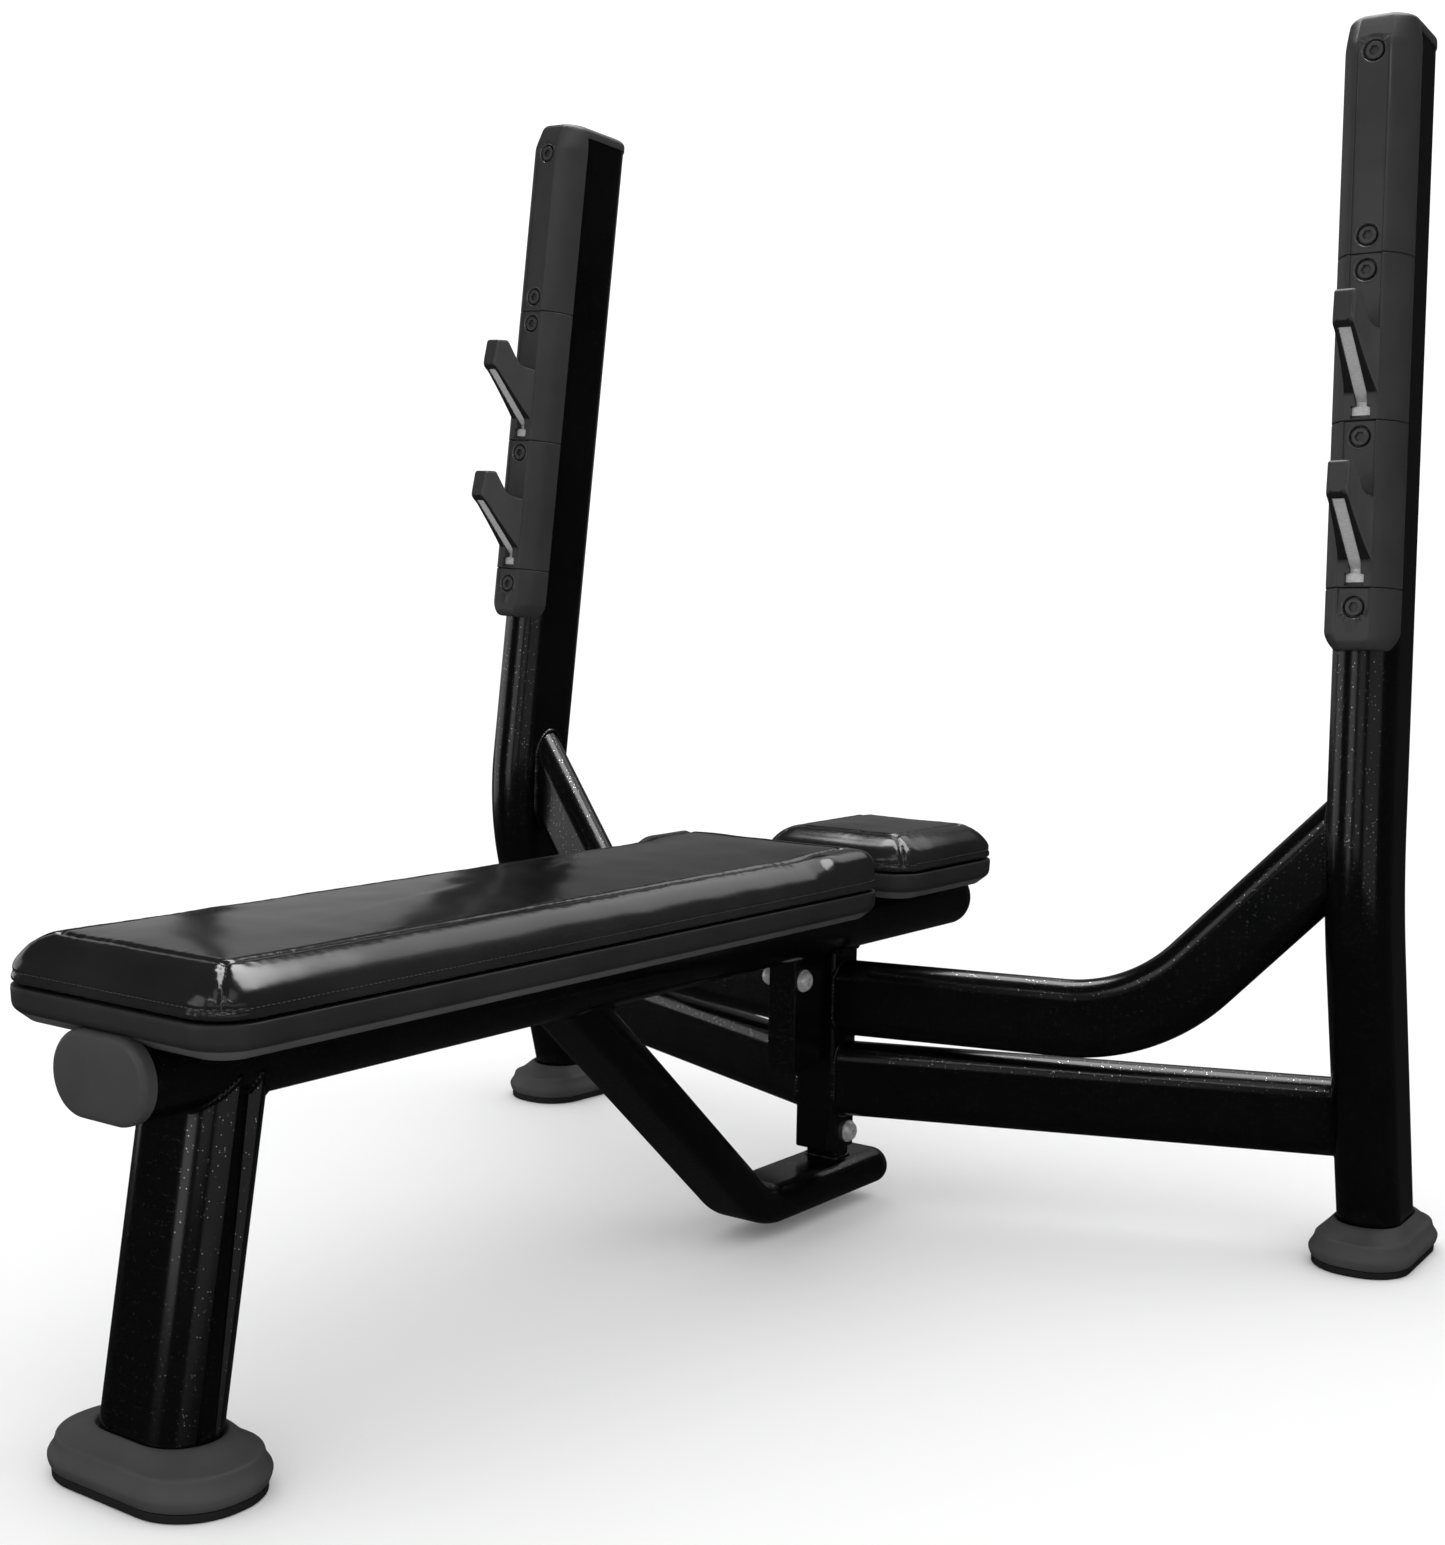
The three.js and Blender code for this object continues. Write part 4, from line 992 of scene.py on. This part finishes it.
def inflate(mesh, pinned, cap):
    """Swells a cushion between its seams as cloth under pressure, by no more than cap."""
    obj = new_object("work", mesh)
    group = obj.vertex_groups.new(name="pins")
    for weight in (1.0, 0.6, 0.25):
        chosen = [int(i) for i in np.nonzero(np.isclose(pinned, weight))[0]]
        group.add(chosen, weight, "REPLACE")
    cloth = obj.modifiers.new("cloth", "CLOTH")
    settings = cloth.settings
    settings.vertex_group_mass = "pins"
    settings.use_pressure = True
    settings.uniform_pressure_force = 4.0
    settings.effector_weights.gravity = 0.0
    settings.quality = 4
    settings.tension_stiffness = settings.compression_stiffness = 12
    settings.bending_stiffness = 0.6
    cloth.point_cache.frame_start, cloth.point_cache.frame_end = 1, 20
    before = coordinates(mesh)
    for step in range(1, 21):
        bpy.context.scene.frame_set(step)
    result = evaluated(obj)
    move = coordinates(result) - before
    length = np.linalg.norm(move, axis=1)
    move *= (cap * np.tanh(length / cap) / np.maximum(length, 1e-9))[:, None]
    result.vertices.foreach_set("co", (before + move).ravel())
    bpy.context.scene.frame_set(1)
    return result


def modified(mesh, kind, **settings):
    obj = new_object("work", mesh)
    modifier = obj.modifiers.new("work", kind)
    for key, value in settings.items():
        setattr(modifier, key, value)
    return evaluated(obj)


def cushion(name, pad):
    """A vinyl cushion: a flat top panel, bevelled sides with mitred corners and a stitched welt."""
    rings = [[lifted(pad, p) for p in pad_ring(pad, inset, z)] for inset, z in CUSHION]
    start = bpy.data.meshes.new(name)
    start.from_pydata([tuple(p) for ring in rings for p in ring], [], loft(rings)[1])
    mesh = modified(start, "REMESH", mode="VOXEL", voxel_size=0.0045)
    mesh = modified(mesh, "SMOOTH", factor=0.5, iterations=2)
    lines = seam_lines(pad)
    points = coordinates(mesh)
    gap = seam_distance(points, lines).min(axis=1)
    pinned = np.where(gap < 0.0035, 1.0, np.where(gap < 0.007, 0.6, np.where(gap < 0.011, 0.25, 0.0)))
    pinned[points[:, 2] < WELT[1] - 0.001] = 1.0
    mesh = inflate(mesh, pinned, 0.006)
    mesh = modified(mesh, "SUBSURF", levels=1, render_levels=1)
    points = coordinates(mesh)
    gap = seam_distance(points, [lines[0], lines[1], sum(lines[2:], [])])
    normals = np.empty(3 * len(points))
    mesh.vertex_normals.foreach_get("vector", normals)
    normals = normals.reshape(-1, 3)
    sink = 0.002 * np.exp(-(gap[:, 0] / 0.0032) ** 2) + 0.0018 * np.exp(-(gap[:, 1] / 0.002) ** 2)
    sink += 0.0024 * np.exp(-(gap[:, 2] / 0.0028) ** 2)
    swell = np.array([noise.noise(Vector(p) * 21.0) for p in points])
    pucker = np.array([noise.noise(Vector((p[0] * 150.0, p[1] * 150.0, p[2] * 60.0))) for p in points])
    near = np.exp(-(np.minimum(gap[:, 1], gap[:, 2]) / 0.009) ** 2)
    crease_near = np.exp(-(gap[:, 0] / 0.012) ** 2)
    out = -sink + 0.0007 * swell + pucker * (0.0005 * near + 0.0003 * crease_near)
    out *= np.clip((points[:, 2] - 0.3935) / 0.006, 0, 1)
    mesh.vertices.foreach_set("co", (points + normals * out[:, None] + (0, SHIFT, 0)).ravel())
    obj = adopt(name, "vinyl", mesh, sharp=75.0, weighted=False)
    return obj, lines


# A stitch from end to end: (place along it, thickness, height over the seam)
STITCH = ((-0.5, 0.3, -0.6), (-0.4, 1, 0.1), (0, 1, 0.5), (0.4, 1, 0.1), (0.5, 0.3, -0.6))


def stitches(name, obj, lines, stride=5, length=0.0034, radius=0.00042):
    """Short thread stitches on a cushion, one to every stride points of its seam lines."""
    tree = tree_of(obj)
    threads = []
    for line in lines:
        points = [p + Vector((0, SHIFT, 0)) for p in line]
        for i in range(1, len(points) - 2, stride):
            way = (points[i + 1] - points[i - 1]).normalized()
            spot, normal = tree.find_nearest(points[i])[:2]
            way = (way - normal * way.dot(normal)).normalized()
            side = normal.cross(way)
            rings = []
            for t, size, lift in STITCH:
                middle = spot + way * (t * length) + normal * (lift * radius)
                rings.append([middle + (side * cos(a) + normal * sin(a)) * radius * size
                              for a in circle(6)])
            threads.append(loft(rings))
    made = piece(name, "vinyl", *merged(*threads), sharp=80.0, weighted=False)
    made.data.materials[0] = THREAD


def base(name, pad, solid):
    """The moulded base under a cushion, with a chamfered lower edge that is painted lighter to stand in for
    the floor's bounce light.
    """
    rings = [[p + Vector((0, SHIFT, 0)) for p in pad_ring(pad, inset, z)] for inset, z in BASE[::-1]]
    made = piece(name, "pad_shells", *loft(rings), replaces=solid, sharp=40.0)
    made.data.materials.append(SHELL_CHAMFER_PAINTED_LIGHT)
    for face in made.data.polygons:
        # The lower chamfer takes the lighter grey: a painted floor bounce.
        painted_light_band = BASE[9][1] - 0.0005 < face.center.z < BASE[8][1]
        face.material_index = 1 if painted_light_band else 0


for name, pad in (("Back_pad", BACK_PAD), ("Head_pad", HEAD_PAD)):
    cushion_piece, seams = cushion(name, pad)
    stitches(name + "_stitches", cushion_piece, seams[1:])
    base(name + "_base", pad, name.lower() + "_shell")

# ---- floor, lights and camera
def matte(name, grey):
    material, shader = new_material(name)
    shader.inputs["Base Color"].default_value = (grey, grey, grey, 1)
    shader.inputs["Roughness"].default_value = 0.9
    shader.inputs["Specular IOR Level"].default_value = 0.0
    return material


def floor():
    mesh = bpy.data.meshes.new("floor")
    mesh.from_pydata([(-30, -30, 0), (30, -30, 0), (30, 30, 0), (-30, 30, 0)], [], [(0, 1, 2, 3)])
    mesh.materials.append(matte("floor_paint", 0.94))
    ground = new_object("floor", mesh)
    ground.visible_glossy = ground.visible_shadow = False


def softbox(name, place, target, size, radiance, lights_matte=False):
    """A rectangular light of a given brightness that the camera doesn't see, mostly there to be mirrored."""
    data = bpy.data.lights.new(name, "AREA")
    data.shape = "RECTANGLE"
    data.size, data.size_y = size
    data.energy = radiance * pi * size[0] * size[1]
    lamp = new_object(name, data)
    place, target = Vector(place), Vector(target)
    lamp.location = at(*place)
    lamp.rotation_euler = (target - place).to_track_quat("-Z", "Y").to_euler()
    lamp.visible_camera = False
    lamp.visible_diffuse = lights_matte


def studio():
    """A white surround that lights the bench softly but is dark where gloss mirrors it, with softboxes."""
    world = bpy.data.worlds.new("studio")
    world.use_nodes = True
    nodes, connect = world.node_tree.nodes, world.node_tree.links.new
    mix = nodes.new("ShaderNodeMixShader")
    for index, strength in ((1, 1.14), (2, 0.02)):
        shade = nodes["Background"] if index == 1 else nodes.new("ShaderNodeBackground")
        shade.inputs["Color"].default_value = (1, 1, 1, 1)
        shade.inputs["Strength"].default_value = strength
        connect(shade.outputs["Background"], mix.inputs[index])
    connect(nodes.new("ShaderNodeLightPath").outputs["Is Glossy Ray"], mix.inputs["Fac"])
    connect(mix.outputs["Shader"], nodes["World Output"].inputs["Surface"])
    world.cycles.sampling_method = "NONE"
    bpy.context.scene.world = world
    softbox("overhead", (-0.2, 0.65, 3.2), (-0.2, 0.55, 0.0), (3.2, 1.6), 6.0)
    softbox("front_top_strip", (1.6, -2.9, 2.6), (0.4, 0.1, 0.2), (3.0, 0.14), 7.0)
    softbox("front_wide", (3.8, -2.6, 0.55), (0, -1.0, 0.2), (3.6, 2.4), 0.34)
    softbox("left_wide", (-4.0, -1.0, 0.8), (-0.5, 0.0, 0.8), (2.6, 2.0), 0.8)
    softbox("front_left", (-0.7, -3.0, 1.1), (-0.5, 0, 0.9), (1.1, 2.2), 1.1)
    softbox("front_right", (1.0, -3.3, 1.0), (0.5, 0, 0.8), (1.2, 1.6), 0.45)
    softbox("rear_overhead", (-0.2, 2.7, 3.15), (0, -0.3, 0.4), (2.6, 1.9), 1.1)
    softbox("key", (1.6, -2.0, 3.4), (0, -0.2, 0.5), (2.0, 1.6), 0.7, True)
    # Three tall panels behind the far side, which the flat top of the pad mirrors with gaps between them.
    eye = Vector((1.323, -2.114, 1.35))
    for index, (first, last, radiance) in enumerate(((66, 50.5, 0.33), (49.3, 43.4, 0.3), (41.8, 20, 0.13))):
        start, end = (eye + 6 * Vector((-sin(radians(a)), cos(radians(a)), 0)) for a in (first, last))
        softbox("panel_%d" % index, (start + end) / 2, eye, ((end - start).length, 2.0), radiance)
    bpy.context.scene.view_settings.view_transform = "Standard"
    bpy.context.scene.view_settings.look = "None"


def camera():
    """Looks at the bench from its front right-hand side, a little above the pad."""
    yaw, pitch, roll = (radians(a) for a in (35.89, 5.59, 1.09))
    forward = Vector((-sin(yaw) * cos(pitch), cos(yaw) * cos(pitch), -sin(pitch)))
    right = Vector((cos(yaw), sin(yaw), 0))
    up = right.cross(forward)
    right, up = right * cos(roll) + up * sin(roll), up * cos(roll) - right * sin(roll)
    data = bpy.data.cameras.new("camera")
    data.sensor_width = 36
    data.lens = 50.18
    eye = new_object("camera", data)
    turn = Matrix((right, up, -forward)).transposed().to_4x4()
    eye.matrix_world = Matrix.Translation(at(1.323, -2.114, 0.736)) @ turn
    bpy.context.scene.camera = eye


floor()
studio()
camera()

for name, obj in frame["nodes"].items():
    slot = next(s["material_slot"] for s in frame["record"]["subparts"] if s["node"] == name)
    obj.data.materials.clear()
    obj.data.materials.append(MATERIALS[slot])
